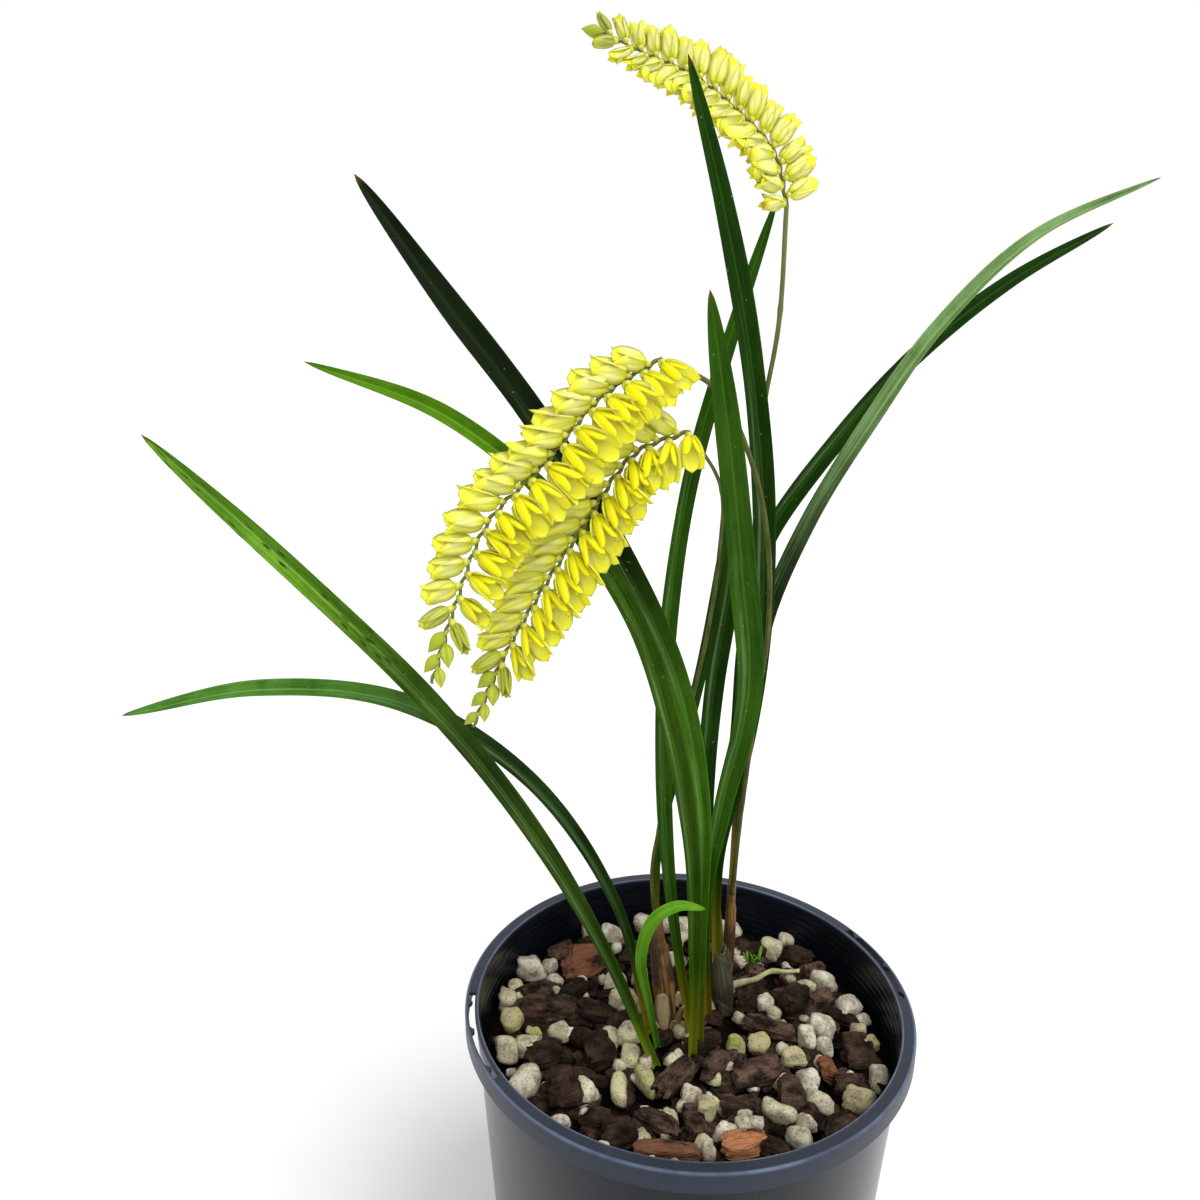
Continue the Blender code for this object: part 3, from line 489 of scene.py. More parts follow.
def egg_set(bases, outs, lengths, widths):
    """Closed buds: eggs on (along, around), radius = w / 2 * sin(pi * s^0.8), with three ribs."""
    s, a = np.linspace(0, 1, 9), ring_angles(8)
    outs = unit(outs)
    one = unit(np.cross(outs, (0.31, 0.2, 0.9)))
    ring = ring_of(one, np.cross(outs, one), a)
    radius = 0.5 * widths[:, None] * np.sin(np.pi * s ** 0.8)[None]
    points = ((bases[:, None] + outs[:, None] * (lengths[:, None] * s[None])[..., None])[:, :, None]
              + ring[:, None] * (radius[:, :, None] * (1 + 0.08 * np.cos(3 * a)))[..., None])
    start = (np.arange(len(bases)) * points.shape[1] * points.shape[2])[:, None, None]
    uv = np.broadcast_to(paired((a / math.tau)[None], s[:, None])[None], points.shape[:3] + (2,))
    return points, (grid_quads(9, 8)[None] + start).reshape(-1, 4), uv


# turn round the flower's axis, length, width, opening in degrees, cup, brightness
BACK_SEEN = [(0, 1.0, 0.56, 13, 0.3, 0.0), (64, 0.96, 0.54, 20, 0.35, 0.05),
             (-64, 0.96, 0.54, 20, 0.35, 0.05), (135, 0.85, 0.34, 20, 0.5, 0.7),
             (-135, 0.85, 0.34, 20, 0.5, 0.7), (180, 0.75, 0.28, 28, 0.9, 1.0)]
FRONT_SEEN = [(180, 1.0, 0.56, 22, 0.3, 0.25), (110, 0.98, 0.54, 28, 0.35, 0.4),
              (-110, 0.98, 0.54, 26, 0.35, 0.4), (45, 0.86, 0.27, 30, 0.6, 1.0),
              (-45, 0.80, 0.27, 24, 0.6, 1.0), (4, 0.50, 0.34, 12, 0.6, 0.8)]

BRACT = (3.0, 1.6, 0.4, 0.7)  # length, width, opening in radians, cup
RACHIS_RADIUS = 0.5
ROUTE_STATIONS = 240


def raceme_surface(facing, left, right, front, lips, buds, wear_and_highlight, route, pitch, size, seed):
    """Two ranks of cupped flowers on a thin rachis, and closed buds at its end.

    Flower i leaves the rachis to the left or right by turns, leaning towards its tip, and
    carries three broad outer tepals, two narrow ones and a lip round its own axis. The left
    rank shows its backs and the right rank its lips, if it has them. A flower's young, bright,
    worn and tone values, from 0 to 1, are what the petals are coloured by; axis marks green parts.
    """
    rng = np.random.default_rng(seed)
    line, tangent, shares, length = smooth_route(route, ROUTE_STATIONS)
    count = int(length / pitch)
    at = np.linspace(1, (ROUTE_STATIONS - 1) * (1 - 3.5 / length), count).astype(int)
    side, up = across(tangent, facing)
    i = np.arange(count)
    hand = np.where(i % 2 == 1, 1.0, -1.0)
    share = i / (count - 1)
    left_over = count - buds - i
    grown = (0.85 + 0.15 * ease(share * 6)) * (1 - 0.35 * ease((share - 0.5) / 0.5))
    bunched = ease(1 - (left_over - 1) / 3)
    forward = np.where(hand > 0, left[0] + (left[1] - left[0]) * share,
                       right[0] + (right[1] - right[0]) * share) + 0.9 * bunched
    out = unit(side[at] * hand[:, None]
               + tangent[at] * (forward + rng.normal(0, 0.06, count))[:, None]
               + up[at] * (np.where(hand > 0, *front) + rng.normal(0, 0.06, count))[:, None])
    root = line[at] + side[at] * hand[:, None] * RACHIS_RADIUS
    first = square_to(up[at], out)
    second = np.cross(out, first)
    tired = (rng.random(count) < 0.14) * wear_and_highlight * rng.uniform(0.3, 1.0, count)
    parts = []
    for kinds, chosen in ((BACK_SEEN, (hand > 0) & (left_over > 0)),
                          (FRONT_SEEN if lips else BACK_SEEN, (hand < 0) & (left_over > 0))):
        n = int(chosen.sum())
        for turn, long, wide, opening, cup, bright in kinds:
            a = np.radians(turn + rng.normal(0, 7 + 12 * wear_and_highlight, n))[:, None]
            outward = first[chosen] * np.cos(a) + second[chosen] * np.sin(a)
            grow = grown[chosen] * size * rng.uniform(0.94 - 0.1 * wear_and_highlight, 1.06, n)
            shut = bunched[chosen]
            points, quads, uv = tepal_set(
                root[chosen] + out[chosen] * 0.4 + outward * 0.5, out[chosen], outward,
                grow * long, grow * wide * (1 - 0.25 * shut),
                np.radians(opening) * (1 - 0.8 * shut) * rng.uniform(0.8, 1.2, n),
                cup + 0.5 * shut, rng.uniform(0, 6, n))
            per = points.shape[1] * points.shape[2]
            parts.append((points, quads, uv, {
                "young": np.repeat(0.75 * shut + 0.25 * share[chosen] ** 2, per),
                "bright": bright, "wear_and_highlight": np.repeat(tired[chosen], per),
                "tone": np.repeat(0.6 * wear_and_highlight + rng.random(n) * (1 - 0.6 * wear_and_highlight), per),
                "axis": 0.0}))
    flowers = left_over > 0
    smaller = ease(-left_over / 4)
    for chosen, base, way, long, wide, young in (
            (flowers, line[at] - tangent[at] * 0.3, out,
             np.full(count, 2.6), np.full(count, 1.7), 0.0),
            (~flowers, line[at] + side[at] * hand[:, None] * 0.3,
             side[at] * hand[:, None] * 0.42 + tangent[at],
             5.6 - 1.4 * smaller, 3.2 - 0.8 * smaller, 1.0)):
        points, quads, uv = egg_set(base[chosen], way[chosen], long[chosen], wide[chosen])
        parts.append((points, quads, uv, {
            "young": young, "bright": 0.0, "wear_and_highlight": 0.0, "tone": 0.1, "axis": 0.35 * (1 - young)}))
    long, wide, opening, cup = (np.full(count, size) for size in BRACT)
    points, quads, uv = tepal_set(
        line[at] - tangent[at] * 0.8, out * 0.5 + tangent[at] * 0.9,
        up[at] + side[at] * hand[:, None], long, wide, opening, cup, rng.uniform(0, 6, count))
    parts.append((points, quads, uv, {"young": 0.5, "bright": 0.0, "wear_and_highlight": 0.3, "tone": 0.5,
                                      "axis": 0.5}))
    zigzag = 0.3 * np.sin(np.pi * np.linspace(0, count, ROUTE_STATIONS))
    a = ring_angles(8)
    thin = RACHIS_RADIUS - 0.15 * shares
    rings = (line + side * zigzag[:, None])[:, None] + thin[:, None, None] * ring_of(side, up, a)
    rings, uv = capped(rings, paired(a[None] / math.tau, shares[:, None]))
    parts.append((rings, grid_quads(len(rings), 8), uv,
                  {"young": 0.0, "bright": 0.0, "wear_and_highlight": 0.0, "tone": 0.3, "axis": 1.0}))
    return joined(parts)


def bulb_surface(foot, head, widest, neck, seed):
    """A wrapped base: radius swells to `widest`, narrows to `neck`; the coat's edge spirals up."""
    rows, columns = 60, 40
    s = np.linspace(0, 1, rows)[:, None]
    a = ring_angles(columns)[None]
    low, high = planted(foot), planted(head)
    radius = widest * (0.72 + 0.28 * np.sin(np.pi * np.minimum(s / 0.7, 1) * 0.5))
    radius = radius + (neck - radius) * ease((s - 0.3) / 0.7)
    coat = ((a / math.tau + s * 1.3) % 1.0) * 0.35
    ragged = 0.10 * np.sin(9 * a + seed) * ease((s - 0.7) / 0.3)
    radius = radius * (1 + 0.02 * np.sin(14 * a + 3 * s)) - 0.3 + coat + ragged
    centre = low + (high - low) * s[..., None]
    points = centre + at_angle(radius, a, 0.8 * np.sin(3 * a + seed) * ease((s - 0.8) / 0.2))
    inner = centre[-1:] + (points[-1:] - centre[-1:]) * 0.72 - (0, 0, 0.2)
    deep = inner - (0, 0, 3.0)
    points = np.concatenate((points, inner, deep))
    along = np.concatenate((s, [[1.0], [1.0]]))
    points, uv = capped(points, paired(a / math.tau, along))
    return points, grid_quads(len(points), columns), uv, {}


def root_surface(seed):
    """A crooked aerial root: a tube whose radius tapers and wanders."""
    rings, uv = tube(AERIAL_ROOT, 60, lambda s: 0.95 - 0.45 * s ** 2, 10, 0.22, seed)
    rings = rings + unevenness(rings, 9, seed)[..., None] * (0.3, 0.4, 0.3)
    return rings, grid_quads(len(rings), 10), uv, {}


def shred_surface():
    """Torn papery scales round the left bulb: long pointed blades curling off their feet."""
    rows = [  # foot x, y, z, lean x, y, z, facing x, y, length, width, opening, cup
        (-5.6, 1.6, 0.0, -0.10, -0.05, 1.0, 0.1, -1.0, 16.5, 5.0, 4, 0.7),
        (-2.6, 2.6, 0.0, 0.10, -0.06, 1.0, 0.8, -1.0, 12.0, 3.6, 14, 0.6),
        (-8.8, 3.0, 0.0, -0.18, -0.02, 1.0, -0.8, -1.0, 10.0, 3.0, 16, 0.6),
        (-4.0, 2.2, 1.0, 0.02, -0.30, 1.0, 0.3, -1.0, 8.5, 2.4, 28, 0.8),
        (-7.2, 2.4, 1.0, -0.30, -0.20, 1.0, -0.4, -1.0, 7.5, 2.0, 30, 0.8),
        (13.6, 18.8, 0.0, -0.06, -0.10, 1.0, -0.2, -1.0, 8.0, 2.2, 6, 0.7)]
    t = np.array(rows)
    points, quads, uv = tepal_set(
        planted(t[:, 0:3]), t[:, 3:6], np.column_stack((t[:, 6:8], np.zeros(len(t)))),
        t[:, 8], t[:, 9], np.radians(t[:, 10]), t[:, 11], np.arange(len(t)) * 1.7)
    return points, quads, uv, {}


def tuft_surface():
    """A seedling tuft: short green blades that fan out from one spot on the mix."""
    rng = np.random.default_rng(5)
    count = 16
    lean = np.column_stack((rng.normal(0, 0.5, (count, 2)), np.ones(count)))
    foot = np.column_stack((rng.normal((24.0, 31.5), 1.3, (count, 2)), np.full(count, 2.5)))
    points, quads, uv = tepal_set(
        planted(foot), lean, np.column_stack((lean[:, :2] + 0.01, np.zeros(count))),
        rng.uniform(3, 5.5, count), rng.uniform(0.7, 1.1, count), rng.uniform(0.05, 0.4, count),
        np.full(count, 0.4), rng.uniform(0, 6, count))
    return points, quads, uv, {"upper": 1.0, "millimetres": 0.0}


# ---- bark, pumice and the mix -------------------------------------------------------------

def chunk(size, flat_sides, softness, seed, rows, columns, rough, layers=0.0):
    """A chunk round its centre, in its own millimetres, on (latitude, longitude).

    Each of `flat_sides` seeded planes n.d = h cuts the ball of directions d: the radius is
    (sum (n.d / h)^p)^(-1/p), rounder for a small p. It is then stretched to `size`, roughened,
    and stepped along z where the bark splits into layers.
    """
    rng = np.random.default_rng(seed)
    lat = np.linspace(-np.pi / 2, np.pi / 2, rows)[:, None]
    lon = ring_angles(columns)[None]
    d = np.stack((np.cos(lat) * np.cos(lon), np.cos(lat) * np.sin(lon),
                  np.sin(lat) * np.ones_like(lon)), -1)
    n = rng.normal(size=(flat_sides, 3)) * (1, 1, 0.5)
    n = np.vstack((n, (rng.normal(0, 0.12), rng.normal(0, 0.12), 1), (0.05, 0, -1),
                   (1, 0.1, 0.1), (-1, 0.1, 0), (0.1, 1, 0.1), (0, -1, 0.15)))
    n = unit(n)
    h = rng.uniform(0.8, 1.0, len(n))
    radius = (np.clip(d @ n.T / h, 0, None) ** softness).sum(-1) ** (-1 / softness)
    local = d * radius[..., None] * (np.asarray(size) / 2)
    swell = unevenness(local, max(size) * 0.55, seed) * rough
    grainy = unevenness(local * (0.35, 1, 1.6), 2.2, seed + 1) * rough * 0.5
    local = local * (1 + (swell + grainy)[..., None])
    if layers:
        step = np.round(local[..., 2] / 0.9)
        slide = np.sin(step * 2.7 + seed) * layers
        local[..., 1] += slide * np.sign(local[..., 1])
        split = unevenness(local * (0, 1, 1), 2.6, seed + 2)
        local[..., 0] *= 1 + 0.16 * split * np.abs(local[..., 0]) / (size[0] / 2)
    local[0] = local[0].mean(0)
    local[-1] = local[-1].mean(0)
    return local


def laid(local, place, sink, turn, lean):
    """A chunk leant round X, turned round Z and lowered until it beds `sink` into the mix."""
    t, l = math.radians(turn), math.radians(lean)
    x, y, z = np.moveaxis(local, -1, 0)
    y, z = y * math.cos(l) - z * math.sin(l), y * math.sin(l) + z * math.cos(l)
    x, y = x * math.cos(t) - y * math.sin(t), x * math.sin(t) + y * math.cos(t)
    return np.stack((x + place[0], y + place[1], z - z.min() - sink + MIX_TOP), -1)


def grained(local, points, tint):
    """A grid of points with its own grain coordinates and its tint."""
    rows, columns = local.shape[:2]
    flat = local.reshape(-1, 3)
    return points, grid_quads(rows, columns), np.zeros((rows, columns, 2)), {
        "grain_x": flat[:, 0], "grain_y": flat[:, 1], "grain_z": flat[:, 2], "tint": tint}


def bark_surface(rows, seed):
    """Angular layered chips of bark."""
    parts = []
    for k, (x, y, length, width, thick, turn, lean, tint) in enumerate(rows):
        local = chunk((length * 1.06, width, thick * 1.08), 7, 34, seed + k, 19, 34, 0.03, 0.12)
        tip = lean * 1.2 + 22 * math.sin(3.7 * k + seed) * (seed > 100)
        parts.append(grained(local, laid(local, (x, y), 0.4, turn, tip), tint))
    return joined(parts)


def pumice_surface(rows, seed):
    """Rounded lumps of pumice."""
    parts = []
    for k, (x, y, length, width, height, turn, tint) in enumerate(rows):
        local = chunk((length * 1.08, width * 1.08, height * 1.1), 6, 5.0, seed + k, 15, 24, 0.09)
        parts.append(grained(local, laid(local, (x, y), 0.4, turn, 6), tint))
    return joined(parts)


# crumbs: largest size, share of it across and up, how deep they bed in, flat sides, softness,
# columns, roughness, layering
PUMICE_CRUMB = ((2.6, 5.6), (0.7, 1), (0.7, 0.95), (0.0, 0.8), 5, 6.0, 10, 0.08, 0.0)
BARK_CRUMB = ((3.5, 8.5), (0.45, 0.8), (0.2, 0.4), (0.2, 1.6), 3, 20, 12, 0.05, 0.12)


def crumb_surface(count, pale, seed):
    """Small stuff between the chips, strewn evenly over the disc: radius = R sqrt(random)."""
    rng = np.random.default_rng(seed)
    top_radius = MIX_HIGH[0] / MM - 0.8
    parts = []
    for k in range(count):
        a, r = rng.uniform(0, math.tau), (top_radius - 2.2) * math.sqrt(rng.random())
        largest, widths, heights, sinks, *shape = PUMICE_CRUMB if pale else BARK_CRUMB
        size = rng.uniform(*largest) * np.array((1.0, rng.uniform(*widths), rng.uniform(*heights)))
        flat_sides, softness, columns, rough, layers = shape
        local = chunk(size, flat_sides, softness, seed + k, 7, columns, rough, layers)
        sink = rng.uniform(*sinks)
        points = laid(local, (r * math.cos(a), r * math.sin(a)), sink, rng.uniform(0, 360),
                      rng.normal(0, 14))
        parts.append(grained(local, points, rng.uniform(0, 0.6) ** 1.3))
    return joined(parts)


def mix_surface():
    """The body of the mix: a turned block, its top raised by bumps that fade at the wall."""
    top_r, base = MIX_HIGH[0] / MM, MIX_LOW[2] / MM
    low_r = top_r - (MIX_TOP - base) * 0.067
    rows, columns = 60, 180
    r = np.linspace(top_r, 0, rows)[:, None]
    a = ring_angles(columns)
    flat = at_angle(r, a, 0.0)
    bumps = unevenness(flat, 7, 11) * 0.9 + unevenness(flat, 3, 12) * 0.45
    top = at_angle(r, a, MIX_TOP - 1.0 + bumps * np.clip((top_r - r) / 4, 0, 1))
    side = np.stack([at_angle(q, a, h)
                     for q, h in ((0.0, base), (low_r, base), (top_r, MIX_TOP - 1.0))])
    points = np.concatenate((side, top[1:]))
    return grained(points, points, 0.0)


# ---- the pot ------------------------------------------------------------------------------

# millimetres; RUN is how much the wall widens to a millimetre of height
RIM_RADIUS = POT_HIGH[0] / MM
BASE_RADIUS, WALL, FLOOR = 52.0, 1.0, 1.8
RIM_WIDTH, SKIRT, THICK = 3.8, 5.6, 1.1
RUN = (RIM_RADIUS - RIM_WIDTH - BASE_RADIUS + WALL) / POT_HEIGHT
SLOTS, SLOT_SWEEP = (181.0, 357.0), 33.0  # where the rim slots start, and how far they run, degrees
SLOT_TEETH, TOOTH_DEPTH, TOOTH_HALF = (0.12, 0.45, 0.88), 1.25, 1.3  # shares, mm, degrees
DRAIN_RING, DRAIN_RADIUS, DRAINS = 36.0, 4.0, 6


def wall_outline(ring_depth):
    """The wall's closed section as (r, z), and the places of the slot's four edges in it."""
    top, under = POT_HEIGHT, POT_HEIGHT - THICK
    skirt_in, slot_out = RIM_RADIUS - 0.85, RIM_RADIUS - 0.98
    wall_top = BASE_RADIUS + RUN * under
    slot_in = wall_top + 0.1
    inner = BASE_RADIUS - WALL
    out = [(49.0, 0.0), (51.0, 0.0), (51.6, 0.12), (51.9, 0.45), (BASE_RADIUS + 0.05, 1.2)]
    out += [(BASE_RADIUS + RUN * z, z) for z in (8, 30, 60, 90, 108, 112)]
    out += [(wall_top, under - 0.3), (wall_top + 0.08, under)]
    bottom_in = len(out)
    out += [(slot_in + 0.08, under), (slot_out, under)]
    out += [(skirt_in, under - 0.1), (skirt_in, top - SKIRT + 0.1), (skirt_in + 0.15, top - SKIRT)]
    out += [(RIM_RADIUS - 0.2, top - SKIRT), (RIM_RADIUS, top - SKIRT + 0.25)]
    out += [(RIM_RADIUS, top - 3), (RIM_RADIUS, top - 0.7)]
    out += [(RIM_RADIUS - 0.6 * (1 - math.cos(t)), top - 0.6 * (1 - math.sin(t)))
            for t in np.radians((15, 35, 55, 75, 90))]
    top_out = len(out)
    out += [(slot_out, top), (slot_in + 0.08, top)]
    mouth = RIM_RADIUS - RIM_WIDTH
    out += [(mouth + 0.5, top), (mouth + 0.15, top - 0.12), (mouth - 0.02, top - 0.5)]
    heights = np.arange(top - 1.2, MIX_TOP - 4, -0.3)
    rings = np.clip(np.sin((top - heights) * math.tau / 2.1), -0.2, 1) * ring_depth
    rings *= ease((top - 2.0 - heights) / 1.5)
    out += list(zip(inner + RUN * heights - rings, heights))
    out += [(inner + RUN * z, z) for z in (60, 20, FLOOR)] + [(49.0, FLOOR)]
    return np.array(out), bottom_in, top_out


def tooth_depth(angle):
    """How far a slot's outer edge stands inwards: a small triangle at each of its teeth."""
    depth = np.zeros_like(angle)
    for start in SLOTS:
        for share in SLOT_TEETH:
            middle = start + SLOT_SWEEP * share
            away = np.abs((angle - middle + 180) % 360 - 180)
            depth = np.maximum(depth, TOOTH_DEPTH * np.clip(1 - away / TOOTH_HALF, 0, 1))
    return depth


def wall_surface(ring_depth):
    """The section swept round the axis, with the cells of the two rim slots left out and walled."""
    outline, bottom_in, top_out = wall_outline(ring_depth)
    columns = 600
    degrees = np.arange(columns) * 360 / columns
    r = np.repeat(outline[:, :1], columns, 1)
    z = np.repeat(outline[:, 1:], columns, 1)
    teeth = tooth_depth(degrees)
    r[bottom_in + 1] -= teeth
    r[top_out] -= teeth
    points = at_angle(r, np.radians(degrees)[None], z)
    rows = len(outline)
    quads = grid_quads(rows + 1, columns).reshape(rows, columns, 4) % (rows * columns)
    keep = np.ones((rows, columns), bool)
    extra = []

    def at(row, column):
        """Number of a point of the wall."""
        return row * columns + column

    for start in SLOTS:
        first = int(round(start / 360 * columns))
        cells = np.arange(first, first + int(SLOT_SWEEP / 360 * columns)) % columns
        following = (cells + 1) % columns
        keep[bottom_in, cells] = False
        keep[top_out, cells] = False
        for low, high in ((bottom_in, top_out + 1), (bottom_in + 1, top_out)):
            extra.append(np.stack((at(low, cells), at(low, following),
                                   at(high, following), at(high, cells)), -1))
        for column in (cells[0], following[-1]):
            extra.append(np.array([[at(bottom_in, column), at(bottom_in + 1, column),
                                    at(top_out, column), at(top_out + 1, column)]]))
    quads = np.concatenate([quads[keep]] + extra)
    return points, quads, np.zeros((rows, columns, 2)), {}


def floor_surface():
    """The floor with its drain holes: six sectors, each a grid from the hole out to its edge."""
    steps, rings = 16, 5
    outer, inner, half = 50.5, 12.0, math.pi / DRAINS
    arc = np.linspace(-half, half, steps + 1)[:-1]
    spoke = np.linspace(0, 1, steps + 1)[:-1]
    edge = np.concatenate([at_angle(radius, angle, 0.0)[:, :2] for radius, angle in (
        (outer, arc), (outer + (inner - outer) * spoke, half),
        (inner, -arc), (inner + (outer - inner) * spoke, -half))])
    away = edge - (DRAIN_RING, 0)
    hole = (DRAIN_RING, 0) + DRAIN_RADIUS * away / np.linalg.norm(away, axis=1)[:, None]
    share = np.linspace(0, 1, rings)[:, None, None] ** 1.5
    flat = hole[None] * (1 - share) + edge[None] * share
    count = flat.shape[1]
    parts = []
    for k in range(DRAINS):
        t = math.tau * (k + 0.5) / DRAINS
        x = flat[..., 0] * math.cos(t) - flat[..., 1] * math.sin(t)
        y = flat[..., 0] * math.sin(t) + flat[..., 1] * math.cos(t)
        up, down = (np.stack(np.broadcast_arrays(x, y, z), -1) for z in (FLOOR, 0.0))
        loop = np.concatenate((up, down[::-1], up[:1]))
        parts.append((loop, grid_quads(len(loop), count), np.zeros(loop.shape[:2] + (2,)), {}))
    hub = np.stack([at_angle(q, ring_angles(96), h) for q, h in (
        (0, FLOOR), (inner * 1.01, FLOOR), (inner * 1.01, 0), (0, 0))])
    parts.append((hub, grid_quads(4, 96), np.zeros((4, 96, 2)), {}))
    return joined(parts)


# ---- materials ----------------------------------------------------------------------------

class Value:
    """A number socket in a Python expression; each operator adds its Math node."""

    def __init__(self, paint, socket):
        self.paint, self.socket = paint, socket

    def math(self, operation, *terms):
        """The result of one Math node."""
        return self.paint.node("ShaderNodeMath", {"operation": operation}, dict(enumerate(terms)))

    def __add__(self, other): return self.math("ADD", self, other)
    def __radd__(self, other): return self.math("ADD", self, other)
    def __sub__(self, other): return self.math("SUBTRACT", self, other)
    def __rsub__(self, other): return self.math("SUBTRACT", other, self)
    def __mul__(self, other): return self.math("MULTIPLY", self, other)
    def __rmul__(self, other): return self.math("MULTIPLY", self, other)
    def __abs__(self): return self.math("ABSOLUTE", self)

    def between(self, low, high):
        """0 below low, 1 above high, eased between them."""
        return self.paint.node("ShaderNodeMapRange", {"interpolation_type": "SMOOTHSTEP"},
                               {"Value": self, "From Min": low, "From Max": high})


class Paint:
    """Builds one node material round its Principled shader."""

    def __init__(self, name):
        self.material = bpy.data.materials.new(name)
        self.material.use_nodes = True
        self.tree = self.material.node_tree
        self.shader = self.tree.nodes["Principled BSDF"]

    def node(self, kind, settings=None, inputs=None, output=0):
        """Add a node: its settings first, then the values or links of its sockets."""
        made = self.tree.nodes.new(kind)
        for key, value in (settings or {}).items():
            setattr(made, key, value)
        for key, value in (inputs or {}).items():
            self.feed(made.inputs[key], value)
        return Value(self, made.outputs[output])

    def feed(self, socket, value):
        """Link a Value to a socket, or set the socket's own number or colour."""
        if isinstance(value, Value):
            self.tree.links.new(value.socket, socket)
        elif hasattr(value, "__len__") and socket.type == "RGBA":
            socket.default_value = (*value[:3], 1.0)
        else:
            socket.default_value = value

    def place(self, stretch=1, offset=(0, 0, 0)):
        """Object coordinates in millimetres, stretched by one number or by three."""
        spot = self.node("ShaderNodeTexCoord", output=3)
        return self.node("ShaderNodeMapping", {"vector_type": "POINT"}, {
            "Vector": spot, "Scale": np.broadcast_to(stretch, 3) / MM, "Location": offset})

    def attribute(self, name):
        """One of the piece's own point values."""
        return self.node("ShaderNodeAttribute", {"attribute_name": name}, output=2)

    def vector(self, x, y, z):
        """Three numbers as one vector."""
        return self.node("ShaderNodeCombineXYZ", {}, {0: x, 1: y, 2: z})

    def surface_map(self):
        """The two parameters of the piece's own surface."""
        split = self.tree.nodes.new("ShaderNodeSeparateXYZ")
        self.feed(split.inputs[0], self.node("ShaderNodeUVMap", {"uv_map": "surface"}))
        return Value(self, split.outputs[0]), Value(self, split.outputs[1])

    def noise(self, vector, detail, roughness=0.55, distortion=0.0):
        """Cloudy noise from 0 to 1, about one unit of the vector to a cloud."""
        return self.node("ShaderNodeTexNoise", {}, {
            "Vector": vector, "Scale": 1.0, "Detail": detail, "Roughness": roughness,
            "Distortion": distortion})

    def cells(self, vector, feature="F1"):
        """Distance to the nearest of scattered points, or to the edge between two of them."""
        return self.node("ShaderNodeTexVoronoi", {"feature": feature}, {
            "Vector": vector, "Scale": 1.0})

    def mix(self, factor, first, second):
        """The first colour, covered by the second as far as the factor says."""
        return self.node("ShaderNodeMix", {"data_type": "RGBA"},
                         {0: factor, 6: first, 7: second}, 2)

    def bump(self, height, distance, strength):
        """The normal of a surface raised by the height times the distance in millimetres."""
        return self.node("ShaderNodeBump", {}, {
            "Height": height, "Distance": distance * MM, "Strength": strength})

    def finish(self, **sockets):
        """Feed the Principled shader's sockets, named with underscores, and give the material."""
        for key, value in sockets.items():
            self.feed(self.shader.inputs[key.replace("_", " ")], value)
        return self.material


def leaf_material(name, finish, seed, look):
    """A living strap leaf: veins along it, a pale midrib, mottling, a coloured foot and flecks,
    with a painted sheen and painted shade on one half.
    """
    shade, lit, rib, foot, (low, high, start, stop), spots_and_half_shade, rough = LEAF_FINISHES[finish]

    def toned(colour, share):
        """A colour made lighter or darker."""
        return tuple(look.leaf_brightness * share * c for c in colour)

    p = Paint(name)
    u, v = p.surface_map()
    run = p.attribute("millimetres")
    upper = p.attribute("upper")
    off = abs(u * 2 - 1)
    streaks = p.noise(p.vector(u * 9, run * 0.035, float(seed)), 4.0, 0.6)
    fine = p.noise(p.vector(u * 46, run * 0.06, float(seed)), 2.0)
    mottle = p.noise(p.place((0.09, 0.09, 0.05), (seed, 0, 0)), 4.0, 0.65)
    tone = (streaks * 0.55 + mottle * 0.75 - 0.2).between(0.18, 0.72)
    along = (v + (streaks - 0.5) * 0.12).between(start, stop)
    shade, lit, rib = (p.mix(along, toned(colour, low), toned(colour, high))
                       for colour in (shade, lit, rib))
    colour = p.mix(tone, shade, lit)
    colour = p.mix(fine.between(0.5, 0.75) * 0.4, colour, rib)
    colour = p.mix((1 - upper) * 0.45, colour, p.mix(0.5, rib, (0.10, 0.16, 0.05)))
    colour = p.mix((1 - off.between(0.03, 0.12)) * (0.25 + 0.2 * upper), colour, rib)
    colour = p.mix(off.between(0.88, 1.0) * 0.35, colour, rib)
    # painted sheen: a pale grey-green streak of highlight on the upper face of the lower blade
    painted_sheen = (1 - abs(u - 0.3).between(0.0, 0.16)) * streaks.between(0.36, 0.6) * upper
    painted_sheen = painted_sheen * v.between(0.08, 0.25) * (1 - v.between(0.55, 0.8))
    colour = p.mix(painted_sheen * 0.5, colour, (0.17, 0.29, 0.11))
    base = 1 - (v + (streaks - 0.5) * 0.09).between(0.01, 0.13)
    colour = p.mix(base * 0.85, colour, foot)
    flecks = p.cells(p.vector(u * 5, run * 0.22, float(seed)))
    dark = (1 - flecks.between(0.14, 0.40)) * v.between(0.5, 0.75) * mottle.between(0.34, 0.48)
    colour = p.mix(dark * spots_and_half_shade, colour, (0.02, 0.025, 0.004))
    # painted shade: one half of the blade darkened to the shade colour along the middle of its
    # length, as strongly as the spots show
    colour = p.mix(u.between(0.46, 0.62) * v.between(0.3, 0.8) * spots_and_half_shade * 0.4, colour, shade)
    dust = p.cells(p.place(0.32, (0, seed, 0)))
    colour = p.mix((1 - dust.between(0.05, 0.09)) * 0.3, colour, (0.35, 0.42, 0.25))
    colour = p.mix(v.between(0.985, 0.999) * 0.7, colour, (0.12, 0.07, 0.02))
    height = fine * 0.5 + streaks * 0.25 + (1 - off.between(0.0, 0.10)) * 0.4
    return p.finish(
        Base_Color=colour, Roughness=mottle * 0.22 + fine * 0.08 + (rough - 0.13),
        Normal=p.bump(height, 0.14, 0.6), Specular_IOR_Level=0.05)


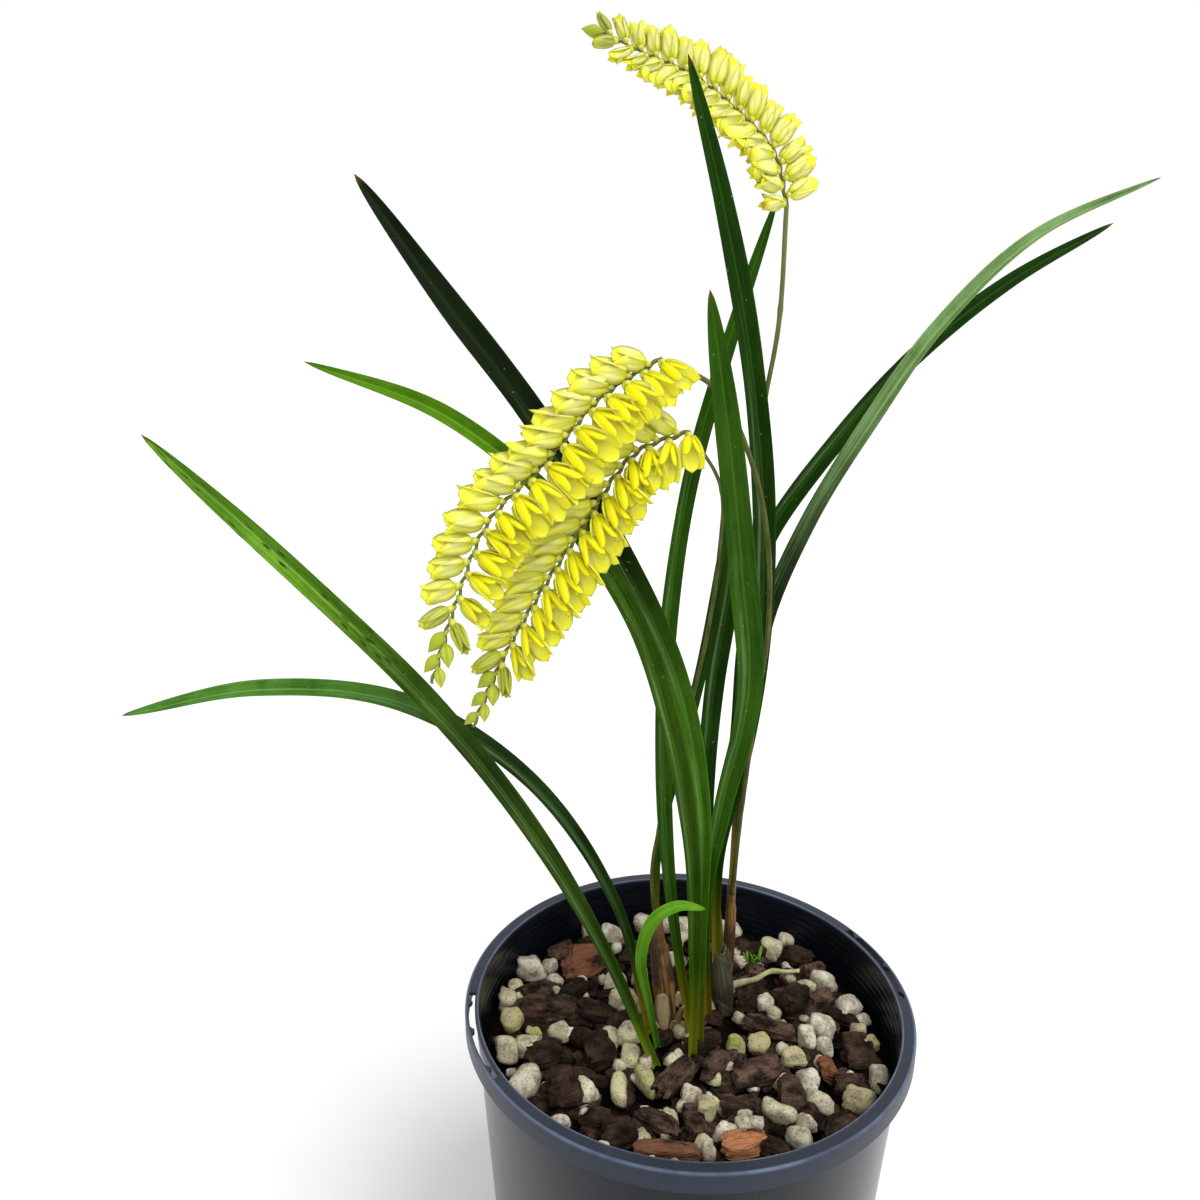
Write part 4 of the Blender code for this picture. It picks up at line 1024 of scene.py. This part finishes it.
def stalk_material():
    """A thin wiry stalk, olive brown and greener upwards, with fine lengthwise ribs."""
    p = Paint("stalk")
    u, v = p.surface_map()
    streak = p.noise(p.vector(u * 12, v * 9, 0.0), 3.0)
    blotch = p.noise(p.place((0.3, 0.3, 0.12)), 3.0)
    colour = p.mix((streak * 0.5 + blotch * 0.6 - 0.1).between(0.25, 0.75),
                   (0.04, 0.05, 0.009), (0.15, 0.16, 0.035))
    colour = p.mix(v.between(0.7, 1.0) * 0.5, colour, (0.22, 0.24, 0.08))
    return p.finish(Base_Color=colour, Roughness=streak * 0.2 + 0.38,
                    Normal=p.bump(streak, 0.08, 0.5), Specular_IOR_Level=0.12)


def petal_material(look):
    """Thin waxy petals: lemon, greener at the foot and on young flowers, with pale edges."""
    p = Paint("petals")
    u, v = p.surface_map()
    young, bright, axis = p.attribute("young"), p.attribute("bright"), p.attribute("axis")
    wear_and_highlight, tone = p.attribute("wear_and_highlight"), p.attribute("tone")
    petal, lip, green = look.petal_colour[:], look.lip_colour[:], look.young_colour[:]
    off = abs(u * 2 - 1)
    veins = p.noise(p.vector(u * 15, v * 1.5, tone * 40), 2.0)
    cloud = p.noise(p.place(0.35), 3.0)
    colour = p.mix(bright * 0.85 + cloud.between(0.45, 0.7) * 0.15, petal, lip)
    pale = (1 - abs(v - 0.45).between(0.1, 0.4)) * (1 - bright) * (0.3 + tone * 0.6)
    colour = p.mix(pale, colour, (0.97, 0.96, 0.34))
    colour = p.mix((1 - v.between(0.0, 0.35)) * 0.55 * (1 - bright * 0.6), colour, green)
    colour = p.mix(veins.between(0.5, 0.68) * 0.3, colour, green)
    colour = p.mix(off.between(0.75, 1.0) * 0.35, colour, (0.72, 0.70, 0.05))
    colour = p.mix(young * (1 - off.between(0.2, 1.0) * 0.25), colour, (0.34, 0.40, 0.035))
    spent = wear_and_highlight * (v + cloud * 0.5).between(0.95, 1.3)
    colour = p.mix(spent, colour, (0.42, 0.13, 0.012))
    colour = p.mix(v.between(0.94, 1.0) * (0.3 + 0.4 * wear_and_highlight), colour, (0.45, 0.36, 0.05))
    colour = p.mix(axis, colour, (0.13, 0.14, 0.03))
    return p.finish(
        Base_Color=colour, Roughness=cloud * 0.15 + 0.42, Normal=p.bump(veins, 0.07, 0.5),
        Subsurface_Weight=0.3, Subsurface_Radius=(1.0, 0.95, 0.08), Subsurface_Scale=0.0025,
        Specular_IOR_Level=0.12)


def papery_material(name, low, high, dark):
    """A dry sheath: lengthwise fibres, a darker patch and a rough dull surface."""
    p = Paint(name)
    u, v = p.surface_map()
    fibres = p.noise(p.vector(u * 26, v * 1.6, 0.0), 4.0, 0.65)
    patch = p.noise(p.place((0.14, 0.14, 0.08)), 3.0)
    colour = p.mix(fibres.between(0.35, 0.68), low, high)
    colour = p.mix(patch.between(0.42, 0.56) * 0.85, colour, dark)
    colour = p.mix(v.between(0.75, 1.0) * 0.4, colour, high)
    return p.finish(Base_Color=colour, Roughness=fibres * 0.25 + 0.45,
                    Normal=p.bump(fibres, 0.25, 0.8))


def root_material():
    """A pale spongy root, greener in places."""
    p = Paint("aerial_root")
    patch = p.noise(p.place(0.25), 4.0)
    grain = p.noise(p.place(2.2), 3.0)
    colour = p.mix(patch.between(0.38, 0.66), (0.50, 0.48, 0.24), (0.20, 0.24, 0.05))
    return p.finish(Base_Color=p.mix(grain * 0.4, colour, (0.62, 0.58, 0.38)), Roughness=0.8,
                    Normal=p.bump(grain, 0.2, 0.7))


def bark_material(name, share=1.0):
    """Chipped bark: stepped layers and cracks along the grain, from near black to orange."""
    p = Paint(name)
    gx, gy, gz = (p.attribute("grain_" + axis) for axis in "xyz")
    tint = p.attribute("tint")
    layers = p.noise(p.vector(gx * 0.11, gy * 0.26, gz * 1.1 + tint * 50), 5.0, 0.62, 0.5)
    clods = p.noise(p.place(0.22), 5.0, 0.7)
    grit = p.noise(p.place(1.7), 4.0, 0.7)
    cracks = p.cells(p.vector(gx * 0.22, gy * 0.7, gz * 1.1), "DISTANCE_TO_EDGE")
    pale = (clods * 0.9 + layers * 0.6 - 0.3).between(0.25, 0.75)
    # share scales the two base colours; the soil's low share is partly painted shade in the gaps
    # between the chips
    colour = p.mix(pale, tuple(share * c for c in (0.006, 0.004, 0.003)),
                   tuple(share * c for c in (0.065, 0.038, 0.025)))
    colour = p.mix(tint.between(0.12, 0.6) * pale * 0.85, colour, (0.19, 0.115, 0.085))
    colour = p.mix(tint.between(0.6, 0.85) * layers.between(0.3, 0.6) * 0.85, colour,
                   (0.24, 0.095, 0.045))
    colour = p.mix(tint.between(0.92, 1.0) * layers.between(0.25, 0.55), colour,
                   (0.44, 0.19, 0.085))
    colour = p.mix((1 - layers.between(0.34, 0.46)) * 0.6, colour, (0.014, 0.009, 0.007))
    colour = p.mix(grit.between(0.6, 0.78) * (0.2 + 0.25 * tint), colour, (0.34, 0.26, 0.2))
    colour = p.mix((1 - cracks.between(0.0, 0.05)) * 0.3, colour, (0.006, 0.004, 0.003))
    height = layers * 0.8 + grit * 0.3 + cracks.between(0.0, 0.10) * 0.2 + clods * 0.45
    return p.finish(Base_Color=colour, Roughness=0.93 - pale * 0.18,
                    Normal=p.bump(height, 0.75, 0.9), Specular_IOR_Level=0.05)


def pumice_material():
    """Pale pitted pumice, cream to grey, with green-yellow algae on the damp ones."""
    p = Paint("pumice")
    tint = p.attribute("tint")
    cloud = p.noise(p.place(0.24), 4.0, 0.65)
    pits = p.cells(p.place(1.15))
    fine = p.noise(p.place(2.4), 4.0, 0.7)
    colour = p.mix(cloud.between(0.35, 0.65), (0.30, 0.25, 0.17), (0.70, 0.66, 0.54))
    colour = p.mix(fine.between(0.5, 0.8) * 0.35, colour, (0.30, 0.24, 0.17))
    colour = p.mix(tint.between(0.05, 0.8) * cloud.between(0.32, 0.6) * 0.9, colour,
                   (0.42, 0.38, 0.12))
    colour = p.mix(tint.between(0.55, 0.95) * cloud.between(0.45, 0.62) * 0.8, colour,
                   (0.22, 0.25, 0.04))
    hole = 1 - pits.between(0.10, 0.34)
    colour = p.mix(hole * fine.between(0.42, 0.6) * 0.75, colour, (0.12, 0.085, 0.055))
    height = fine * 0.5 - hole * 0.7 + cloud * 0.6
    return p.finish(Base_Color=colour, Roughness=0.92, Normal=p.bump(height, 0.5, 0.85),
                    Specular_IOR_Level=0.2)


def pot_material(look):
    """Moulded charcoal plastic with draw lines, scuffs and dust; the rim is bluer,
    with a painted highlight along its rounded edges.
    """
    p = Paint("pot_plastic")
    pebble = p.noise(p.place(1.6), 2.0)
    cloud = p.noise(p.place((0.05, 0.05, 0.03)), 4.0, 0.6)
    drawn = p.noise(p.place((0.5, 0.5, 0.012)), 3.0)
    scuff = p.noise(p.place((0.12, 0.12, 1.4)), 5.0, 0.75, 0.4).between(0.60, 0.74)
    dust = p.cells(p.place(0.42))
    speck = (1 - dust.between(0.04, 0.10)) * cloud.between(0.45, 0.6)
    dark = look.pot_colour[:]
    light = tuple(1.6 * c + 0.0015 for c in dark)
    radius = p.node("ShaderNodeVectorMath", {"operation": "LENGTH"}, {0: p.place((1, 1, 0))}, 1)
    height = p.node("ShaderNodeSeparateXYZ", {}, {0: p.place()}, 2)
    rim = (radius.between(RIM_RADIUS - RIM_WIDTH - 0.2, RIM_RADIUS - RIM_WIDTH + 0.3)
           * height.between(POT_HEIGHT - SKIRT - 0.4, POT_HEIGHT - SKIRT))
    # painted highlight: pale rings along the rim's outer and inner rounded edges at its top, patchy
    # with the cloud noise
    wear_and_highlight = ((1 - abs(radius - (RIM_RADIUS - 0.35)).between(0.15, 0.5))
            + (1 - abs(radius - (RIM_RADIUS - RIM_WIDTH + 0.3)).between(0.1, 0.4)))
    wear_and_highlight = wear_and_highlight * height.between(POT_HEIGHT - 0.9, POT_HEIGHT - 0.3) * cloud.between(0.2, 0.7)
    colour = p.mix(cloud.between(0.35, 0.7) * 0.7, dark, light)
    colour = p.mix(rim * (0.7 + 0.3 * cloud), colour, look.rim_colour[:])
    colour = p.mix(wear_and_highlight * 0.8, colour, tuple(6.0 * c for c in look.rim_colour))
    colour = p.mix(scuff * 0.12, colour, (0.12, 0.12, 0.13))
    colour = p.mix(speck * 0.25, colour, (0.35, 0.34, 0.32))
    return p.finish(
        Base_Color=colour,
        Roughness=cloud * 0.12 + scuff * 0.12 + rim * 0.16 + (look.pot_roughness - 0.06),
        Normal=p.bump(pebble * 0.5 + drawn * 0.8, 0.03, 0.6), IOR=1.9, Specular_IOR_Level=0.5,
        Specular_Tint=(0.07, 0.075, 0.09))


def floor_material(look):
    """Pale matt floor with a hint of unevenness."""
    p = Paint("studio_floor")
    cloud = p.noise(p.place(0.002), 2.0)
    colour = p.mix(cloud * 0.3, look.floor_colour[:], tuple(0.97 * c for c in look.floor_colour))
    return p.finish(Base_Color=colour, Roughness=0.9)


# ---- the user's settings ------------------------------------------------------------------

def colour_setting(name, description, default):
    """A colour that the user may choose."""
    return FloatVectorProperty(name=name, description=description, subtype="COLOR",
                               default=default, min=0, max=1)


class OrchidPlantLook(bpy.types.PropertyGroup):
    """Leaves and flowers."""
    leaf_brightness: FloatProperty(
        name="Leaf brightness", description="Brightens every leaf colour", default=1.0,
        min=0.2, max=3.0, subtype="FACTOR")
    flower_pitch: FloatProperty(
        name="Flower spacing", description="Millimetres of rachis to a flower", default=2.45,
        min=1.5, max=8.0)
    flower_length: FloatProperty(name="Flower length", description="Millimetres from foot to tip",
                                 default=11.0, min=3.0, max=20.0)
    petal_colour: colour_setting("Petal", "Colour of the petals", (0.97, 0.96, 0.06))
    lip_colour: colour_setting("Lip", "Colour of the lips", (1.0, 0.90, 0.004))
    young_colour: colour_setting("Young", "Colour of young parts", (0.70, 0.74, 0.02))


class OrchidPotLook(bpy.types.PropertyGroup):
    """Pot and mix."""
    pot_colour: colour_setting("Plastic", "Colour of the pot", (0.0028, 0.0038, 0.0065))
    # the rim colour is the rim's own colour; six times it is the painted highlight on the rim's
    # rounded edges
    rim_colour: colour_setting("Rim", "Colour of the worn rim", (0.024, 0.030, 0.045))
    pot_roughness: FloatProperty(name="Roughness", description="How dull the plastic is",
                                 default=0.24, min=0, max=1, subtype="FACTOR")
    ring_depth: FloatProperty(
        name="Ring depth", description="Millimetres that the inner rings stand out",
        default=0.10, min=0, max=1)
    bark_crumbs: IntProperty(name="Bark crumbs", description="Small bits of bark between the chips",
                             default=480, min=0, max=1000)
    pumice_crumbs: IntProperty(name="Pumice crumbs", description="Small bits of pumice",
                               default=130, min=0, max=1000)


class OrchidStageLook(bpy.types.PropertyGroup):
    """Floor, light and camera."""
    floor_colour: colour_setting("Floor", "Colour of the floor", (0.93, 0.93, 0.93))
    sky: FloatProperty(name="Room light", description="Strength of the even light", default=0.6,
                       min=0)
    key: FloatProperty(name="Key light", description="Strength of the main soft light", default=1.7,
                       min=0)
    front: FloatProperty(name="Front light", description="Strength of the light from the front",
                         default=1.0, min=0)
    focal_length: FloatProperty(name="Lens", description="Focal length in millimetres",
                                default=29.45, min=10, max=200, subtype="DISTANCE_CAMERA")


# ---- operators ----------------------------------------------------------------------------

FLOOR_RADII = (0.0, 400.0, 1500.0, 9000.0)
CAMERA_PLACE = (-0.02567, -0.23834, 0.29754)  # metres
CAMERA_DIP, CAMERA_ROLL = 15.76, 0.517  # degrees below the level, and round the way it looks
SENSOR_WIDTH = 36.0


class BuildOperator(bpy.types.Operator):
    """Shared settings of the orchid's operators."""
    bl_options = {"REGISTER", "UNDO"}

    @classmethod
    def poll(cls, context):
        return context.scene is not None


class ORCHID_OT_pot(BuildOperator):
    """Build the nursery pot with its slotted rim, inner rings and drain holes."""
    bl_idname = "orchid.pot"
    bl_label = "Pot"

    def execute(self, context):
        look = context.scene.orchid_pot
        points, quads = joined([wall_surface(look.ring_depth), floor_surface()])[:2]
        build("nursery_pot", (points, quads, None, {}), pot_material(look), "pot_plastic", "pot",
              sharp=38)
        return {"FINISHED"}


class ORCHID_OT_mix(BuildOperator):
    """Build the potting mix: its body, the bark chips, the pumice and the crumbs between them."""
    bl_idname = "orchid.mix"
    bl_label = "Potting mix"

    def execute(self, context):
        look = context.scene.orchid_pot
        # the soil takes the bark's finish at 0.12 of its base colours: partly its own dark colour,
        # partly painted shade in the gaps between the chips
        bark, soil_with_painted_shade, pumice = bark_material("bark"), bark_material("soil_with_painted_shade", 0.12), pumice_material()
        build("mix_body", mix_surface(), soil_with_painted_shade, "mix_dark", "potting_mix")
        chips = [f"bark_chip_{k:02d}" for k in range(1, len(BARK) + 1)]
        stones = [f"pumice_{k:02d}" for k in range(1, len(PUMICE) + 1)]
        for name, surface, nodes in (
                ("bark_chips", bark_surface(BARK, 100), chips),
                ("more_bark_chips", bark_surface(MORE_BARK, 200), ()),
                ("pumice_stones", pumice_surface(PUMICE, 300), stones),
                ("more_pumice_stones", pumice_surface(MORE_PUMICE, 400), ()),
                ("bark_crumbs", crumb_surface(look.bark_crumbs, False, 500), ()),
                ("pumice_crumbs", crumb_surface(look.pumice_crumbs, True, 2000), ())):
            if "bark" in name:
                build(name, surface, bark, "bark_brown", *nodes, sharp=24)
            else:
                build(name, surface, pumice, "pumice_pale", *nodes)
        return {"FINISHED"}


class ORCHID_OT_leaves(BuildOperator):
    """Build the strap leaves and the seedling tuft."""
    bl_idname = "orchid.leaves"
    bl_label = "Leaves"

    def execute(self, context):
        look = context.scene.orchid_plant
        for seed, (name, (*shape, finish)) in enumerate(LEAVES.items()):
            build(name + "_blade", leaf_surface(*shape, seed),
                  leaf_material(name + "_skin", finish, seed, look),
                  "young_green" if finish == "young" else "leaf_green", name)
        skin = bpy.data.materials["leaf_young_skin"]
        build("seedling_tuft", tuft_surface(), skin, "young_green")
        return {"FINISHED"}


class ORCHID_OT_flowers(BuildOperator):
    """Build the stalks and the flower chains."""
    bl_idname = "orchid.flowers"
    bl_label = "Flowers"

    def execute(self, context):
        look = context.scene.orchid_plant
        skin, petals = stalk_material(), petal_material(look)
        for seed, (name, (radius, route)) in enumerate(STALKS.items()):
            build(name + "_stalk", stalk_surface(radius, route, seed), skin, "stem_olive", name)
        for seed, (name, (*shape, share, spacing, route)) in enumerate(RACEMES.items()):
            chain = raceme_surface(*shape, route, look.flower_pitch * spacing,
                                   look.flower_length * share, seed + 40)
            build(name + "_flowers", chain, petals, "flower_yellow", name)
        return {"FINISHED"}


class ORCHID_OT_base(BuildOperator):
    """Build the bulbs, sheaths, torn scales and the aerial root."""
    bl_idname = "orchid.base"
    bl_label = "Bulbs and root"

    def execute(self, context):
        coats = {
            "sheath": (papery_material("sheath", (0.10, 0.045, 0.01), (0.38, 0.20, 0.045),
                                       (0.02, 0.01, 0.004)), "sheath_brown"),
            "bulb": (papery_material("bulb_coat", (0.012, 0.014, 0.005), (0.06, 0.058, 0.024),
                                     (0.012, 0.008, 0.004)), "bulb_green")}
        scale = papery_material("torn_scale", (0.36, 0.25, 0.12), (0.62, 0.50, 0.30),
                                (0.2, 0.11, 0.04))
        for seed, (name, (*shape, finish)) in enumerate(BULBS.items()):
            build(name + "_coat", bulb_surface(*shape, seed), *coats[finish], name)
        build("torn_scales", shred_surface(), scale, "sheath_brown", "papery_scale")
        build("crooked_root", root_surface(3), root_material(), "root_pale", "aerial_root")
        return {"FINISHED"}


class ORCHID_OT_stage(BuildOperator):
    """Set up the floor, the soft lights and the camera."""
    bl_idname = "orchid.stage"
    bl_label = "Stage"

    def execute(self, context):
        look = context.scene.orchid_stage
        points = at_angle(np.array(FLOOR_RADII)[:, None], ring_angles(64)[None], 0.0)
        floor = put_mesh("floor", points, grid_quads(len(points), 64), floor_material(look))
        world = bpy.data.worlds.new("studio")
        context.scene.world = world
        world.use_nodes = True
        nodes, link = world.node_tree.nodes, world.node_tree.links.new
        shade = nodes["Background"]
        shade.inputs["Color"].default_value = (1.0, 1.0, 1.0, 1.0)
        # the room is full white to the camera and in reflections, and `sky` as light
        seen = nodes.new("ShaderNodeLightPath")
        level = nodes.new("ShaderNodeMapRange")
        either = nodes.new("ShaderNodeMath")
        either.operation = "MAXIMUM"
        level.inputs["To Min"].default_value = look.sky
        level.inputs["To Max"].default_value = 1.0
        link(seen.outputs["Is Camera Ray"], either.inputs[0])
        link(seen.outputs["Is Glossy Ray"], either.inputs[1])
        link(either.outputs[0], level.inputs["Value"])
        link(level.outputs[0], shade.inputs["Strength"])
        soft_sun("key_light", (0.5, -0.35, 1.1), look.key, 30.0)
        soft_sun("front_light", (0.1, -1.0, 0.8), look.front, 50.0)
        camera = bpy.data.cameras.new("camera")
        camera.lens = look.focal_length
        camera.sensor_width = SENSOR_WIDTH
        camera.clip_start = 0.01
        holder = bpy.data.objects.new("camera", camera)
        turn = (Matrix.Rotation(math.radians(90 - CAMERA_DIP), 3, "X")
                @ Matrix.Rotation(math.radians(CAMERA_ROLL), 3, "Z"))
        holder.matrix_world = Matrix.Translation(CAMERA_PLACE) @ turn.to_4x4()
        context.scene.collection.objects.link(holder)
        context.scene.camera = holder
        context.scene.view_settings.view_transform = "Standard"
        return {"FINISHED"}


def soft_sun(name, way, strength, spread):
    """A sun that shines from the given way, with shadows as soft as its spread in degrees."""
    light = bpy.data.lights.new(name, "SUN")
    light.energy = strength
    light.angle = math.radians(spread)
    lamp = bpy.data.objects.new(name, light)
    lamp.rotation_euler = (math.atan2(math.hypot(way[0], way[1]), way[2]), 0.0,
                           math.atan2(way[1], way[0]) + math.pi / 2)
    bpy.context.scene.collection.objects.link(lamp)


class ORCHID_PT_panel(bpy.types.Panel):
    """The orchid's settings and its operators, in the order that they run."""
    bl_label = "Potted orchid"
    bl_idname = "ORCHID_PT_panel"
    bl_space_type = "VIEW_3D"
    bl_region_type = "UI"
    bl_category = "Orchid"

    def draw(self, context):
        for group, operators in (
                ("orchid_pot", ("orchid.pot", "orchid.mix")),
                ("orchid_plant", ("orchid.base", "orchid.leaves", "orchid.flowers")),
                ("orchid_stage", ("orchid.stage",))):
            box = self.layout.box()
            look = getattr(context.scene, group)
            for key in look.__annotations__:
                box.prop(look, key)
            for name in operators:
                box.operator(name)


CLASSES = (OrchidPlantLook, OrchidPotLook, OrchidStageLook, ORCHID_OT_pot, ORCHID_OT_mix,
           ORCHID_OT_base, ORCHID_OT_leaves, ORCHID_OT_flowers, ORCHID_OT_stage, ORCHID_PT_panel)


def register():
    """Add the classes and the three groups of settings."""
    for kind in CLASSES:
        bpy.utils.register_class(kind)
    bpy.types.Scene.orchid_plant = PointerProperty(type=OrchidPlantLook)
    bpy.types.Scene.orchid_pot = PointerProperty(type=OrchidPotLook)
    bpy.types.Scene.orchid_stage = PointerProperty(type=OrchidStageLook)


def unregister():
    """Take the settings and the classes away again."""
    del bpy.types.Scene.orchid_plant, bpy.types.Scene.orchid_pot, bpy.types.Scene.orchid_stage
    for kind in reversed(CLASSES):
        bpy.utils.unregister_class(kind)


def main():
    """Register the add-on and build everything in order."""
    register()
    for operator in (bpy.ops.orchid.pot, bpy.ops.orchid.mix, bpy.ops.orchid.base,
                     bpy.ops.orchid.leaves, bpy.ops.orchid.flowers, bpy.ops.orchid.stage):
        operator()


if __name__ == "__main__":
    main()
